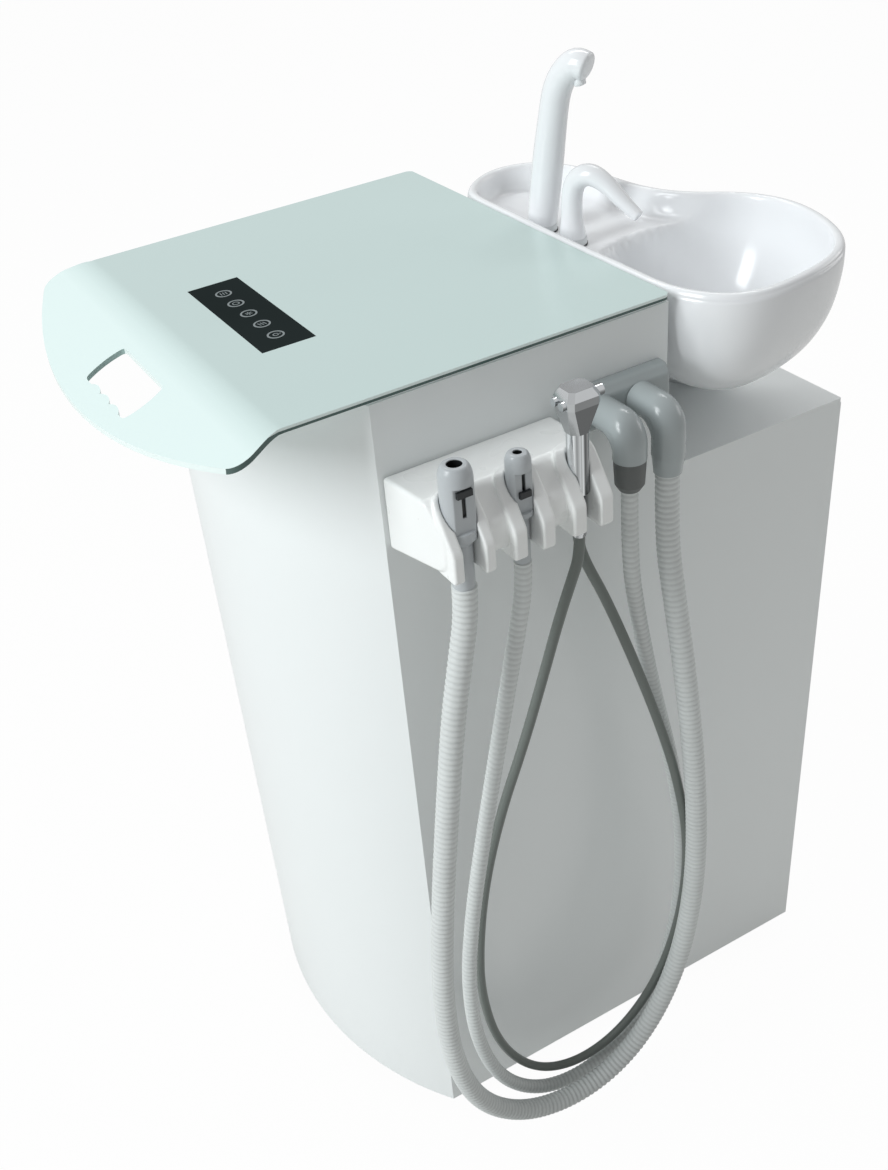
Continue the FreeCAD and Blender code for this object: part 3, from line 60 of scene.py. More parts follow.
class Wire:
    """One output of a shader node; arithmetic on it adds Math nodes."""

    def __init__(self, tree, socket=None):
        self.tree = tree
        self.socket = socket

    def node(self, kind, settings=None, output=0, **inputs):
        """Adds a node: its settings first, then the values or links of its sockets."""
        made = self.tree.nodes.new("ShaderNode" + kind)
        for name, value in (settings or {}).items():
            if name == "stops":
                ramp = made.color_ramp
                while len(ramp.elements) < len(value):
                    ramp.elements.new(0.5)
                for element, (place, color) in zip(ramp.elements, value):
                    element.position = place
                    element.color = color
            else:
                setattr(made, name, value)
        for name, value in inputs.items():
            if name.startswith("i_"):
                slot_in = made.inputs[int(name[2:])]
            else:
                slot_in = made.inputs[name.replace("_", " ")]
            if isinstance(value, Wire):
                self.tree.links.new(value.socket, slot_in)
            else:
                slot_in.default_value = value
        return Wire(self.tree, made.outputs[output])

    def math(self, operation, first, second=0.0):
        return self.node("Math", {"operation": operation}, i_0=first, i_1=second)

    def __add__(self, other):
        return self.math("ADD", self, other)

    __radd__ = __add__

    def __sub__(self, other):
        return self.math("SUBTRACT", self, other)

    def __rsub__(self, other):
        return self.math("SUBTRACT", other, self)

    def __mul__(self, other):
        return self.math("MULTIPLY", self, other)

    __rmul__ = __mul__

    def __truediv__(self, other):
        return self.math("DIVIDE", self, other)

    def __gt__(self, other):
        return self.math("GREATER_THAN", self, other)

    def __lt__(self, other):
        return self.math("LESS_THAN", self, other)


def tint(red, green, blue, share=1.0):
    """A colour given as it looks on screen, turned into the shader's linear values."""
    linear = []
    for value in (red, green, blue):
        part = min(1.0, value * share / 255)
        linear.append(part / 12.92 if part <= 0.04045 else ((part + 0.055) / 1.055) ** 2.4)
    return (*linear, 1.0)


def white_in_view(material_tree, shader, strength):
    """The shader as it lights the room, and near white where it is looked at."""
    start = Wire(material_tree)
    looked, mirrored, through = [start.node("LightPath", output=name) for name in (
        "Is Camera Ray", "Is Glossy Ray", "Is Transmission Ray")]
    seen = start.math("MINIMUM", looked + mirrored * 0.3 + through, 1.0)
    glow = start.node("Emission", Color=(1, 1, 1, 1), Strength=1.0)
    return start.node("MixShader", Fac=seen * strength, i_1=shader, i_2=glow)


floor_mesh = bpy.data.meshes.new("floor")
reach = 9
floor_mesh.from_pydata([(-reach, -reach, 0), (reach, -reach, 0), (reach, reach, 0),
                        (-reach, reach, 0)], [], [(0, 1, 2, 3)])
floor = bpy.data.objects.new("floor", floor_mesh)
bpy.context.scene.collection.objects.link(floor)
floor_paint = bpy.data.materials.new("floor_paint")
floor_paint.use_nodes = True
floor_tree = floor_paint.node_tree
floor_bsdf = floor_tree.nodes["Principled BSDF"]
floor_bsdf.inputs["Base Color"].default_value = (0.72, 0.72, 0.70, 1)
floor_bsdf.inputs["Roughness"].default_value = 0.6
floor_mix = white_in_view(floor_tree, Wire(floor_tree, floor_bsdf.outputs[0]), 0.97)
floor_tree.links.new(floor_mix.socket, floor_tree.nodes["Material Output"].inputs["Surface"])
floor_mesh.materials.append(floor_paint)

world = bpy.data.worlds.new("studio_world")
bpy.context.scene.world = world
world.use_nodes = True
sky = world.node_tree.nodes["Background"]
sky.inputs["Color"].default_value = (1.0, 1.0, 1.0, 1)
sky.inputs["Strength"].default_value = 0.36
sky_view = white_in_view(world.node_tree, Wire(world.node_tree, sky.outputs[0]), 1.0)
world.node_tree.links.new(
    sky_view.socket, world.node_tree.nodes["World Output"].inputs["Surface"])


def lamp(name, place, aim, size, power, color=(1, 1, 1)):
    """A softbox that faces a point of the object."""
    data = bpy.data.lights.new(name, "AREA")
    data.shape = "RECTANGLE"
    data.size, data.size_y = size
    data.energy = power
    data.color = color
    made = bpy.data.objects.new(name, data)
    made.location = place
    made.rotation_euler = (Vector(aim) - Vector(place)).to_track_quat("-Z", "Y").to_euler()
    bpy.context.scene.collection.objects.link(made)


lamp("key_softbox", (0.1, -4.2, 3.0), (0, -0.1, 0.5), (1.4, 3.0), 157, (0.95, 0.985, 1.0))
lamp("top_strip", (-1.2, 0.9, 2.8), (0.1, 0.19, 0.75), (2.4, 0.25), 19)
lamp("rear_softbox", (0.4, 2.6, 1.5), (0.1, 0.2, 0.68), (1.5, 0.8), 8)


# ---- Hoses: a wide and a narrow suction hose of ribbed PVC and a smooth tube for the syringe.
# Each hangs in a free loop from its instrument to the port it is pushed on, long enough to
# reach a patient's mouth. A route's points are the control points of its smooth line.

HVE_ROUTE = [
    (252, -147, 685.5), (252, -147, 662), (254, -156, 625), (258, -169, 576), (262, -184, 490),
    (265, -199, 392), (267, -209, 290), (268, -206, 196), (268, -184, 118), (268, -138, 64),
    (268, -80, 44), (268, -24, 57), (268, 20, 104), (268, 50, 180), (268, 62, 280),
    (267, 58, 390), (261, 49, 500), (250, 42, 590), (240, 40, 646), (240, 40, 703),
]
SE_ROUTE = [
    (252, -98, 686), (252, -98, 664), (251, -104, 630), (249, -113, 584), (247, -128, 510),
    (246, -145, 430), (246, -162, 346), (246, -173, 262), (246, -170, 176), (246, -148, 98),
    (246, -104, 46), (245, -48, 32), (243, 6, 54), (241, 47, 112), (240, 68, 200),
    (239, 69, 300), (239, 54, 400), (239, 32, 490), (239, 14, 580), (240, 5, 640),
    (240, 5, 701),
]
TUBE_ROUTE = [
    (252, -49, 688), (252, -49, 670), (248, -55, 645), (243, -63, 612), (237, -74, 562),
    (233, -93, 496), (231, -118, 430), (230, -137, 362), (230, -149, 290), (230, -153, 214),
    (232, -140, 130), (236, -105, 68), (242, -58, 50), (248, -8, 72), (252, 34, 128),
    (254, 58, 208), (254, 64, 300), (252, 50, 390), (250, 28, 470), (246, 4, 546),
    (240, -18, 612), (234, -33, 650), (232, -37, 672), (232, -37, 691),
]


def at(x, y, z):
    """A place from the cabinet's middle on the floor, in millimetres, in the scene's metres."""
    return ((x - 30) * MM, (y + 16) * MM, z * MM)


def route_curve(name, route):
    """The hose's smooth centreline as one open NURBS spline."""
    data = bpy.data.curves.new(name, "CURVE")
    data.dimensions = "3D"
    spline = data.splines.new("NURBS")
    spline.points.add(len(route) - 1)
    for point, place in zip(spline.points, route):
        point.co = (*at(*place), 1)
    spline.order_u = 3
    spline.use_endpoint_u = True
    spline.resolution_u = 24
    made = bpy.data.objects.new(name, data)
    bpy.context.scene.collection.objects.link(made)
    return made


def even_steps(points, step):
    """Points a step apart along a line, as an array, with both ends kept."""
    line = np.array([tuple(point) for point in points])
    along = np.concatenate([[0], np.cumsum(np.linalg.norm(np.diff(line, axis=0), axis=1))])
    count = max(2, round(along[-1] / step))
    wanted = np.linspace(0, along[-1], count + 1)
    return np.stack([np.interp(wanted, along, line[:, axis]) for axis in range(3)], axis=1)


def centreline(name, route, step):
    """Points read from the route's NURBS spline."""
    guide = route_curve(name, route)
    mesh = bpy.data.meshes.new_from_object(guide)
    points = even_steps([vertex.co for vertex in mesh.vertices], step)
    bpy.data.objects.remove(guide)
    bpy.data.meshes.remove(mesh)
    return points


def skin(name, rings, closed_ends=True):
    """A mesh object skinned over rings of equal point count."""
    rows = [[tuple(point) for point in ring] for ring in rings]
    around = len(rows[0])
    faces = []
    for row in range(len(rows) - 1):
        low, high = row * around, (row + 1) * around
        for column in range(around):
            after = (column + 1) % around
            faces.append((low + column, low + after, high + after, high + column))
    if closed_ends:
        faces.append(tuple(reversed(range(around))))
        faces.append(tuple(range((len(rows) - 1) * around, len(rows) * around)))
    mesh = bpy.data.meshes.new(name)
    mesh.from_pydata([point for ring in rows for point in ring], [], faces)
    mesh.validate()
    mesh.polygons.foreach_set("use_smooth", [True] * len(mesh.polygons))
    made = bpy.data.objects.new(name, mesh)
    bpy.context.scene.collection.objects.link(made)
    return made


def tube_rings(points, radii, around):
    """Circles square to a path, carried along it without twist."""
    tangents = np.gradient(points, axis=0)
    tangents /= np.linalg.norm(tangents, axis=1)[:, None]
    side = np.cross(tangents[0], (0.3, 1.0, 0.2))
    side /= np.linalg.norm(side)
    angles = np.linspace(0, 2 * math.pi, around, endpoint=False)
    rings = []
    for point, tangent, radius in zip(points, tangents, radii):
        side = side - tangent * side.dot(tangent)
        side /= np.linalg.norm(side)
        other = np.cross(tangent, side)
        circle = np.outer(np.cos(angles), side) + np.outer(np.sin(angles), other)
        rings.append(point + radius * circle)
    return rings


def finish(name, color, roughness, **constants):
    """A new material; gives its start wire, which carries object coordinates, and its shader."""
    material = bpy.data.materials.new(name)
    material.use_nodes = True
    tree = material.node_tree
    shader = tree.nodes["Principled BSDF"]
    shader.inputs["Base Color"].default_value = color
    shader.inputs["Roughness"].default_value = roughness
    for key, value in constants.items():
        shader.inputs[key.replace("_", " ")].default_value = value
    start = Wire(tree)
    start = start.node("TexCoord", output="Object")
    return material, start, shader.inputs


def link(wire, shader_inputs, name):
    wire.tree.links.new(wire.socket, shader_inputs[name])


def mottle(start, scale, low, high, detail=3.0):
    """A soft cloudy value between two limits."""
    cloud = start.node("TexNoise", Vector=start, Scale=scale, Detail=detail)
    return cloud * (high - low) + low


def varied(start, color, cloud, spread=0.06):
    """The colour, a little darker where the cloud is low."""
    dark = tuple(value * (1 - spread) for value in color[:3]) + (1.0,)
    return start.node("Mix", {"data_type": "RGBA"}, output=2, i_0=cloud, i_6=dark, i_7=color)


def bumped(start, height, strength, distance):
    return start.node("Bump", Strength=strength, Distance=distance, Height=height)


def wear(material, *pieces):
    """Gives pieces one material."""
    for piece in pieces:
        piece.data.materials.clear()
        piece.data.materials.append(material)


def hose_finish(name, color, roughness):
    """Soft PVC, slightly blotched; shade is painted in its grooves and near the floor."""
    material, start, inputs = finish(name, color, roughness, Specular_IOR_Level=0.25)
    shade = varied(start, color, mottle(start, 28, 0.0, 1.0), 0.10)
    groove = start.node("Attribute", {"attribute_name": "groove"}, output="Fac")
    height = start.node("SeparateXYZ", Vector=start, output="Z")
    near_floor = start.node("MapRange", Value=height, From_Min=0.22, From_Max=0.03)
    # painted shade: darker in the grooves between the ribs and where the hose hangs near the
    # floor
    painted_shade = tuple(value * 0.4 for value in color[:3]) + (1.0,)
    link(start.node("Mix", {"data_type": "RGBA"}, output=2, i_0=groove * 0.18 + near_floor * 0.4,
                    i_6=shade, i_7=painted_shade), inputs, "Base Color")
    link(mottle(start, 60, roughness - 0.06, roughness + 0.08), inputs, "Roughness")
    grain = start.node("TexNoise", Vector=start, Scale=900, Detail=2.0)
    link(bumped(start, grain, 0.12, 0.0002), inputs, "Normal")
    return material


hose_pvc = hose_finish("hose_pvc", tint(222, 226, 225), 0.42)
tube_pvc = hose_finish("tube_pvc", tint(118, 124, 120), 0.30)
# one rib's share of the outer radius, from its crest over the groove to the next crest
RIB = [1.0, 1.0, 0.98, 0.92, 0.92, 0.98]
RIB_PITCH = 5.0 * MM


def ribbed_hose(name, route, radius, node_name):
    """A suction hose whose wall is drawn in between its ribs, with plain ends."""
    points = centreline(name, route, RIB_PITCH / len(RIB))
    last, plain, around = len(points) - 1, 3, 20
    radii = [radius * (RIB[row % len(RIB)] if plain <= row <= last - plain else 1.0)
             for row in range(last + 1)]
    piece = skin(name, tube_rings(points, radii, around))
    # how deep each ring lies between the ribs; the material paints shade from it
    depth = np.repeat((radius - np.array(radii)) / (radius * (1 - min(RIB))), around)
    piece.data.attributes.new("groove", "FLOAT", "POINT").data.foreach_set("value", depth)
    wear(hose_pvc, piece)
    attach(piece, "cabinet")
    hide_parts(node_name)


ribbed_hose("suction_hose_wide", HVE_ROUTE, 9.4 * MM, "hve_hose")
ribbed_hose("suction_hose_narrow", SE_ROUTE, 6.6 * MM, "se_hose")

syringe_tube = route_curve("syringe_tube", TUBE_ROUTE)
syringe_tube.data.bevel_depth = 4.2 * MM
syringe_tube.data.bevel_resolution = 6
syringe_tube.data.use_fill_caps = True
wear(tube_pvc, syringe_tube)
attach(syringe_tube, "cabinet")
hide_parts("syringe_hose")
at(232, -37, 691)


# ---- Cabinet: sheet-steel panels with a gloss white powder coat, one of them rolled into the
# curved front. They are screwed to corner angles on a base plate; the seams stay open by a
# hair.

def enamel_finish(name, color, roughness):
    """Gloss enamel: clear coat over faint orange peel."""
    material, start, inputs = finish(name, color, roughness, Coat_Weight=0.2,
                                     Coat_Roughness=0.15, IOR=1.45)
    cloud = mottle(start, 4, 0.0, 1.0)
    link(varied(start, color, cloud, 0.025), inputs, "Base Color")
    link(mottle(start, 9, roughness - 0.03, roughness + 0.04), inputs, "Roughness")
    peel = start.node("TexNoise", Vector=start, Scale=260, Detail=2.0)
    link(bumped(start, peel, 0.03, 0.0004), inputs, "Normal")
    return material


enamel = enamel_finish("white_enamel", tint(239, 243, 243), 0.30)
for panel in ("front_panel", "right_side_panel", "left_side_panel", "tall_rear_wall",
              "low_deck", "rear_panel", "worktop_tray"):
    wear(enamel, nodes[panel])
frame_steel = enamel_finish("frame_steel", tint(196, 200, 202), 0.35)
wear(frame_steel, nodes["base_plate"], nodes["corner_posts"], nodes["shelf"])


# ---- Worktop: one sheet of bent glass, painted pale green on its underside, with a flap that
# slopes to the front and a cut-out to pull the unit by. Its ground edge is pale; along the
# lower part of its edges on the instrument side, dark green is painted shadow of the gap below.

def glass_finish():
    """Back-painted glass: even pale green with painted light on the flap, and a ground edge."""
    color, flap, ground = (0.62, 0.76, 0.74, 1), (0.80, 0.94, 0.92, 1), (0.82, 0.92, 0.90, 1)
    material, start, inputs = finish("painted_glass", color, 0.25, IOR=1.5)
    along = start.node("SeparateXYZ", Vector=start, output="Y")
    # painted light: past the bend the flap takes a lighter green, for light shining through it
    slope = start.node("MapRange", Value=along, From_Min=-0.224, From_Max=-0.252)
    face = start.node("Mix", {"data_type": "RGBA"}, output=2, i_0=slope, i_6=color, i_7=flap)
    cloudy = varied(start, (1, 1, 1, 1), mottle(start, 3, 0.0, 1.0), 0.015)
    face = start.node("Mix", {"data_type": "RGBA", "blend_type": "MULTIPLY"}, output=2,
                      i_0=1.0, i_6=face, i_7=cloudy)
    normal = start.node("NewGeometry", output="Normal")
    level = start.math("ABSOLUTE", start.node("SeparateXYZ", Vector=normal, output="Z"))
    beside = start.node("SeparateXYZ", Vector=normal, output="X") > 0.5
    below = start.node("SeparateXYZ", Vector=start, output="Z") < 0.8160
    outermost = start.node("SeparateXYZ", Vector=start, output="X") > 0.1
    # painted shadow: below the top's level, edges facing the instrument side turn dark green for
    # the gap under the glass, and mid green for the shade inside the cut-out
    painted_gap_shadow = start.node("Mix", {"data_type": "RGBA"}, output=2, i_0=outermost,
                      i_6=(0.30, 0.42, 0.40, 1), i_7=(0.07, 0.12, 0.11, 1))
    rim = start.node("Mix", {"data_type": "RGBA"}, output=2, i_0=beside * below, i_6=ground,
                     i_7=painted_gap_shadow)
    mixed = start.node("Mix", {"data_type": "RGBA"}, output=2, i_0=level < 0.55, i_6=face,
                       i_7=rim)
    link(mixed, inputs, "Base Color")
    link(mottle(start, 6, 0.2, 0.3), inputs, "Roughness")
    return material


wear(glass_finish(), nodes["glass_top"])


# ---- Touch window: a dark film let into the glass, with five round touch fields. Each field
# is a printed ring with a plain sign for water, cup, light, heat or power.

WINDOW_Z = 818.05 * MM


def film_finish():
    color = (0.024, 0.032, 0.032, 1)
    material, start, inputs = finish("window_film", color, 0.3, Specular_IOR_Level=0.0)
    link(varied(start, color, mottle(start, 12, 0.0, 1.0), 0.25), inputs, "Base Color")
    link(mottle(start, 30, 0.25, 0.35), inputs, "Roughness")
    return material


def print_finish():
    color = tint(132, 142, 144)
    material, start, inputs = finish("window_print", color, 0.4)
    link(varied(start, color, mottle(start, 400, 0.0, 1.0), 0.12), inputs, "Base Color")
    return material


def flat_band(points_in, points_out, z, thick=0.12 * MM):
    """Vertices and faces of a thin raised band between two closed outlines."""
    around = len(points_in)
    rows = []
    for outline, height in ((points_in, 0), (points_in, thick), (points_out, thick),
                            (points_out, 0)):
        rows.append([(x, y, z + height) for x, y in outline])
    vertices = [point for row in rows for point in row]
    faces = []
    for row in range(4):
        after_row = (row + 1) % 4
        for column in range(around):
            after = (column + 1) % around
            faces.append((row * around + column, row * around + after,
                          after_row * around + after, after_row * around + column))
    return vertices, faces


def circle_outline(x, y, radius, count=48):
    turns = [math.radians(360.0 * step / count) for step in range(count)]
    return [(x + radius * math.cos(turn), y + radius * math.sin(turn)) for turn in turns]


def bar_outline(x, y, length, width, turn):
    """A thin rectangle as four corners."""
    along = Vector((math.cos(turn), math.sin(turn))) * length / 2
    across = Vector((-math.sin(turn), math.cos(turn))) * width / 2
    middle = Vector((x, y))
    return [tuple(middle + along + across), tuple(middle - along + across),
            tuple(middle - along - across), tuple(middle + along - across)]


def touch_fields():
    """Rings and signs of the five touch fields, as one printed layer."""
    vertices, faces = [], []

    def add(made):
        offset = len(vertices)
        vertices.extend(made[0])
        faces.extend([tuple(index + offset for index in face) for face in made[1]])

    def bar(x, y, length, width, turn):
        outline = bar_outline(x, y, length, width, turn)
        inner = bar_outline(x, y, length * 0.02, width * 0.02, turn)
        add(flat_band(inner, outline, WINDOW_Z))

    def ring(x, y, inner, outer):
        add(flat_band(circle_outline(x, y, inner), circle_outline(x, y, outer), WINDOW_Z))

    for index, sign in enumerate(("water", "cup", "light", "heat", "power")):
        x, y, _ = at(-42 + 25 * index, -181.5, 0)
        ring(x, y, 5.3 * MM, 6.8 * MM)
        if sign in ("water", "heat"):
            for row in (-1, 0, 1):
                bar(x, y + row * 2.2 * MM, 5 * MM, 0.7 * MM, 0.25 * (sign == "heat"))
        elif sign == "cup":
            ring(x, y, 2.2 * MM, 3.0 * MM)
        elif sign == "light":
            for turn in (0, math.pi / 3, -math.pi / 3):
                bar(x, y, 6 * MM, 0.7 * MM, turn)
        else:
            ring(x, y, 1.6 * MM, 2.4 * MM)
            bar(x, y + 2.8 * MM, 2.6 * MM, 0.8 * MM, math.pi / 2)
    mesh = bpy.data.meshes.new("touch_fields")
    mesh.from_pydata(vertices, [], faces)
    mesh.validate()
    made = bpy.data.objects.new("touch_fields", mesh)
    bpy.context.scene.collection.objects.link(made)
    return made


wear(film_finish(), nodes["touch_window"])
fields = touch_fields()
wear(print_finish(), fields)
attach(fields, "cabinet")


# ---- Control board: a green fibreglass board on plastic pillars under the worktop, behind the
# touch window.

def board_finish():
    color = tint(38, 92, 62)
    material, start, inputs = finish("board_lacquer", color, 0.35)
    tracks = start.node("TexVoronoi", {"feature": "DISTANCE_TO_EDGE"}, Vector=start, Scale=260)
    mixed = start.node("Mix", {"data_type": "RGBA"}, output=2, i_0=tracks < 0.08, i_6=color,
                       i_7=tint(80, 140, 96))
    link(mixed, inputs, "Base Color")
    return material


wear(board_finish(), nodes["control_board"])


# ---- Instrument holder: one white ABS moulding screwed to the side panel. Three collars, open
# to the front by forks, let an instrument hang by its shoulder; the mould rounds every edge.

def meet(first, second, radius):
    """Distance to what two solids share, with the edge between them rounded."""
    corner = np.hypot(np.maximum(first + radius, 0), np.maximum(second + radius, 0))
    return np.minimum(np.maximum(first, second), -radius) + corner


def prism(u, v, corners, radius):
    """Distance to a convex outline given counter-clockwise, with its corners rounded."""
    total = None
    for (u0, v0), (u1, v1) in zip(corners, corners[1:] + corners[:1]):
        side = ((v1 - v0) * (u - u0) - (u1 - u0) * (v - v0)) / math.hypot(u1 - u0, v1 - v0)
        total = side if total is None else meet(total, side, radius)
    return total


def moulded(name, low, high, pitch, outer, cuts, edge, body, node_name):
    """The surface of a solid less its cuts, both given as distances in cabinet millimetres.

    A grid over the box finds the cells that the surface crosses, each gives one point, and
    the points then slide onto the surface.
    """

    def field(places):
        x, y, z = places[..., 0], places[..., 1], places[..., 2]
        return meet(outer(x, y, z), -cuts(x, y, z), edge)

    def slope(places, step=0.04):
        moves = np.eye(3) * step
        rises = [field(places + move) - field(places - move) for move in moves]
        return np.stack(rises, -1) / (2 * step)

    axes = [np.arange(start - pitch, end + 2 * pitch, pitch) for start, end in zip(low, high)]
    values = field(np.stack(np.meshgrid(*axes, indexing="ij"), axis=-1))
    cells = [size - 1 for size in values.shape]
    corners = {(i, j, k): values[i:i + cells[0], j:j + cells[1], k:k + cells[2]]
               for i in (0, 1) for j in (0, 1) for k in (0, 1)}
    filled = sum((part < 0).astype(int) for part in corners.values())
    crossed = (filled > 0) & (filled < 8)
    number = np.full(cells, -1)
    number[crossed] = np.arange(crossed.sum())
    total, hits = np.zeros((crossed.sum(), 3)), np.zeros((crossed.sum(), 1))
    for start, first in corners.items():
        for axis in range(3):
            if not start[axis]:
                end = tuple(part + (place == axis) for place, part in enumerate(start))
                one, two = first[crossed], corners[end][crossed]
                cross = ((one < 0) != (two < 0))[:, None]
                share = (one / np.where(one == two, 1, one - two))[:, None]
                total += cross * (np.array(start) + share * np.eye(3)[axis])
                hits += cross
    origin = np.array([axis[0] for axis in axes])
    places = origin + (np.argwhere(crossed) + total / hits) * pitch
    for _ in range(4):
        lean = slope(places)
        step = field(places)[:, None] * lean / np.maximum((lean ** 2).sum(1), 0.3)[:, None]
        places -= np.clip(step, -pitch / 2, pitch / 2)
    faces = []
    for axis in range(3):
        one, two = (axis + 1) % 3, (axis + 2) % 3
        ends = np.moveaxis(values, (axis, one, two), (0, 1, 2))[:, 1:-1, 1:-1] < 0
        index = np.moveaxis(number, (axis, one, two), (0, 1, 2))
        around = [index[:, :-1, :-1], index[:, 1:, :-1], index[:, 1:, 1:], index[:, :-1, 1:]]
        for wanted, order in ((ends[:-1] & ~ends[1:], 1), (~ends[:-1] & ends[1:], -1)):
            faces.append(np.stack([part[wanted] for part in around[::order]], axis=1))
    mesh = bpy.data.meshes.new(name)
    spots = [at(*place) for place in places]
    mesh.from_pydata(spots, [], np.vstack(faces).tolist())
    mesh.polygons.foreach_set("use_smooth", [True] * len(mesh.polygons))
    lean = slope(places)
    mesh.normals_split_custom_set_from_vertices(
        (lean / np.linalg.norm(lean, axis=1)[:, None]).tolist())
    # how deep each point lies in the cuts, for the shade that materials paint into recesses
    shallow, fade = 2.9, 1.5
    depth = np.clip((-outer(*places.T) - shallow) / fade, 0, 1)
    mesh.attributes.new("recess", "FLOAT", "POINT").data.foreach_set("value", depth)
    piece = bpy.data.objects.new(name, mesh)
    bpy.context.scene.collection.objects.link(piece)
    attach(piece, body)
    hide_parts(node_name)
    return piece


def moulded_finish(name, color, roughness, grain_scale=700, spread=0.04, recess=0.0):
    """Injection-moulded plastic: fine spark texture, slight shine changes, and shade painted
    into its recesses.
    """
    material, start, inputs = finish(name, color, roughness, IOR=1.5)
    shade = varied(start, color, mottle(start, 14, 0.0, 1.0), spread)
    if recess:
        # painted shade: deep in a cut the colour runs towards black
        depth = start.node("Attribute", {"attribute_name": "recess"}, output="Fac") * recess
        shade = start.node("Mix", {"data_type": "RGBA"}, output=2, i_0=depth, i_6=shade,
                           i_7=(0.012, 0.013, 0.014, 1))
    link(shade, inputs, "Base Color")
    link(mottle(start, 40, roughness - 0.02, roughness + 0.02, 1.0), inputs, "Roughness")
    grain = start.node("TexNoise", Vector=start, Scale=grain_scale, Detail=2.0)
    link(bumped(start, grain, 0.03, 0.0002), inputs, "Normal")
    return material


# axis of each cradle, and the barrel and tail radius of what hangs in it
CRADLES = [(-147, 12.2, 8.3), (-98, 9.3, 6.0), (-49, 8.0, 5.5)]
CRADLE_X, SEAT = 252, 722


def holder_outer(x, y, z):
    """A bar with a sloping top, and three rounded arms that stand out from it."""
    body = prism(x, z, [(191, 694), (255, 705), (263, 713), (263, 733), (241, 756), (191, 754)],
                 3.5)
    body = meet(body, prism(x, y, [(191, -172), (264, -165), (264, -30), (191, -30)], 2), 3)
    forks = None
    for middle, _, _ in CRADLES:
        plan = np.hypot(np.minimum(x - CRADLE_X, 0), y - middle) - 17
        forks = plan if forks is None else np.minimum(forks, plan)
    arms = prism(x, z, [(233, 701), (269.5, 701), (271, 702.5), (271, 726), (269, 729),
                        (246, 759), (233, 759)], 2)
    return -meet(-body, -meet(forks, arms, 2.2), 1.5)


def holder_cuts(x, y, z):
    """A stepped bore for each instrument, open to the front by a slot for its tail."""
    total = None
    for middle, barrel, tail in CRADLES:
        share = np.clip((z - SEAT) / ((barrel - tail) * 1.2), 0, 1)
        bore = np.hypot(x - CRADLE_X, y - middle) - 0.3 - tail - (barrel - tail) * share
        slot = np.maximum(np.abs(y - middle) - tail - 0.4, CRADLE_X - x)
        bore = np.minimum(bore, slot)
        total = bore if total is None else np.minimum(total, bore)
    return total


holder = moulded("holder_moulding", (191, -172, 694), (271, -30, 759), 1.0, holder_outer,
                 holder_cuts, 1.6, "cabinet", "instrument_holder")
# a little painted shade deep in the collars' bores and slots
wear(moulded_finish("white_abs", tint(247, 249, 248), 0.28, recess=0.12), holder)
gland_plastic = moulded_finish("gland_plastic", tint(150, 155, 155), 0.35)
wear(gland_plastic, nodes["tube_gland"])


# ---- Suction handpieces: grey moulded barrels with a bore for the suction tip. A black cross
# bar on a stem works the valve in a slot of the flat; the wide one hangs in the first collar.

def handpiece(name, cradle, foot, top, bore, slot, body, node_name):
    """A domed barrel on a thinner tail, with its flat, its valve slot and its tip's bore."""
    middle, barrel, tail = CRADLES[cradle]
    seat, rise = SEAT + 0.3, (barrel - tail) * 1.2
    flat = CRADLE_X + barrel - 3
    slot_depth, slot_half, bore_depth = 2.2, 1.5, 30
    heights = [foot, seat, seat + rise] + [top - barrel * part for part in (
        0.8, 0.6, 0.45, 0.3, 0.18, 0.08, 0)]
    radii = [tail, tail, barrel] + [barrel * part for part in (
        1, 0.985, 0.955, 0.905, 0.85, 0.79, 0.73)]

    def outer(x, y, z):
        wall = (np.hypot(x - CRADLE_X, y - middle) - np.interp(z, heights, radii)) * 0.9
        return meet(meet(wall, z - top, 1.2), foot - z, 0.8)

    def cuts(x, y, z):
        side = np.maximum(flat - x, np.maximum(slot[0] - 12 - z, z - slot[1] - 2))
        groove = np.maximum(flat - slot_depth - x, np.abs(y - middle) - slot_half)
        groove = np.maximum(groove, np.maximum(slot[0] - z, z - slot[1]))
        hole = np.maximum(np.hypot(x - CRADLE_X, y - middle) - bore, top - bore_depth - z)
        return np.minimum(np.minimum(side, groove), hole)

    low = (CRADLE_X - barrel, middle - barrel, foot)
    high = (CRADLE_X + barrel, middle + barrel, top)
    piece = moulded(name, low, high, 0.6, outer, cuts, 0.35, body, node_name)
    # the tip's bore gets the full painted shade down its length
    for vertex, recess in zip(piece.data.vertices, piece.data.attributes["recess"].data):
        from_axis = (vertex.co - Vector(at(CRADLE_X, middle, 0))).to_2d().length / MM
        if from_axis < bore + 0.3 and vertex.co.z < (top - 0.8) * MM:
            recess.value = 1.0
    return piece


# full painted shade in the valve slots and the bores
grey_abs = moulded_finish("grey_abs", tint(186, 191, 194), 0.30, recess=1.0)
black_abs = moulded_finish("black_abs", tint(30, 34, 36), 0.38)
wear(grey_abs,
     handpiece("suction_handpiece_wide", 0, 685.5, 784, 5.55, (746, 768), "hve_suction",
               "hve_handpiece"),
     handpiece("suction_handpiece_narrow", 1, 686, 775, 3.3, (742, 760), "se_suction",
               "se_handpiece"))
wear(black_abs, nodes["hve_slider"], nodes["se_slider"])


# ---- Three-way syringe: a chromed brass grip and a faceted head with a union nut for the
# nozzle and two spring plungers, one for air and one for water.

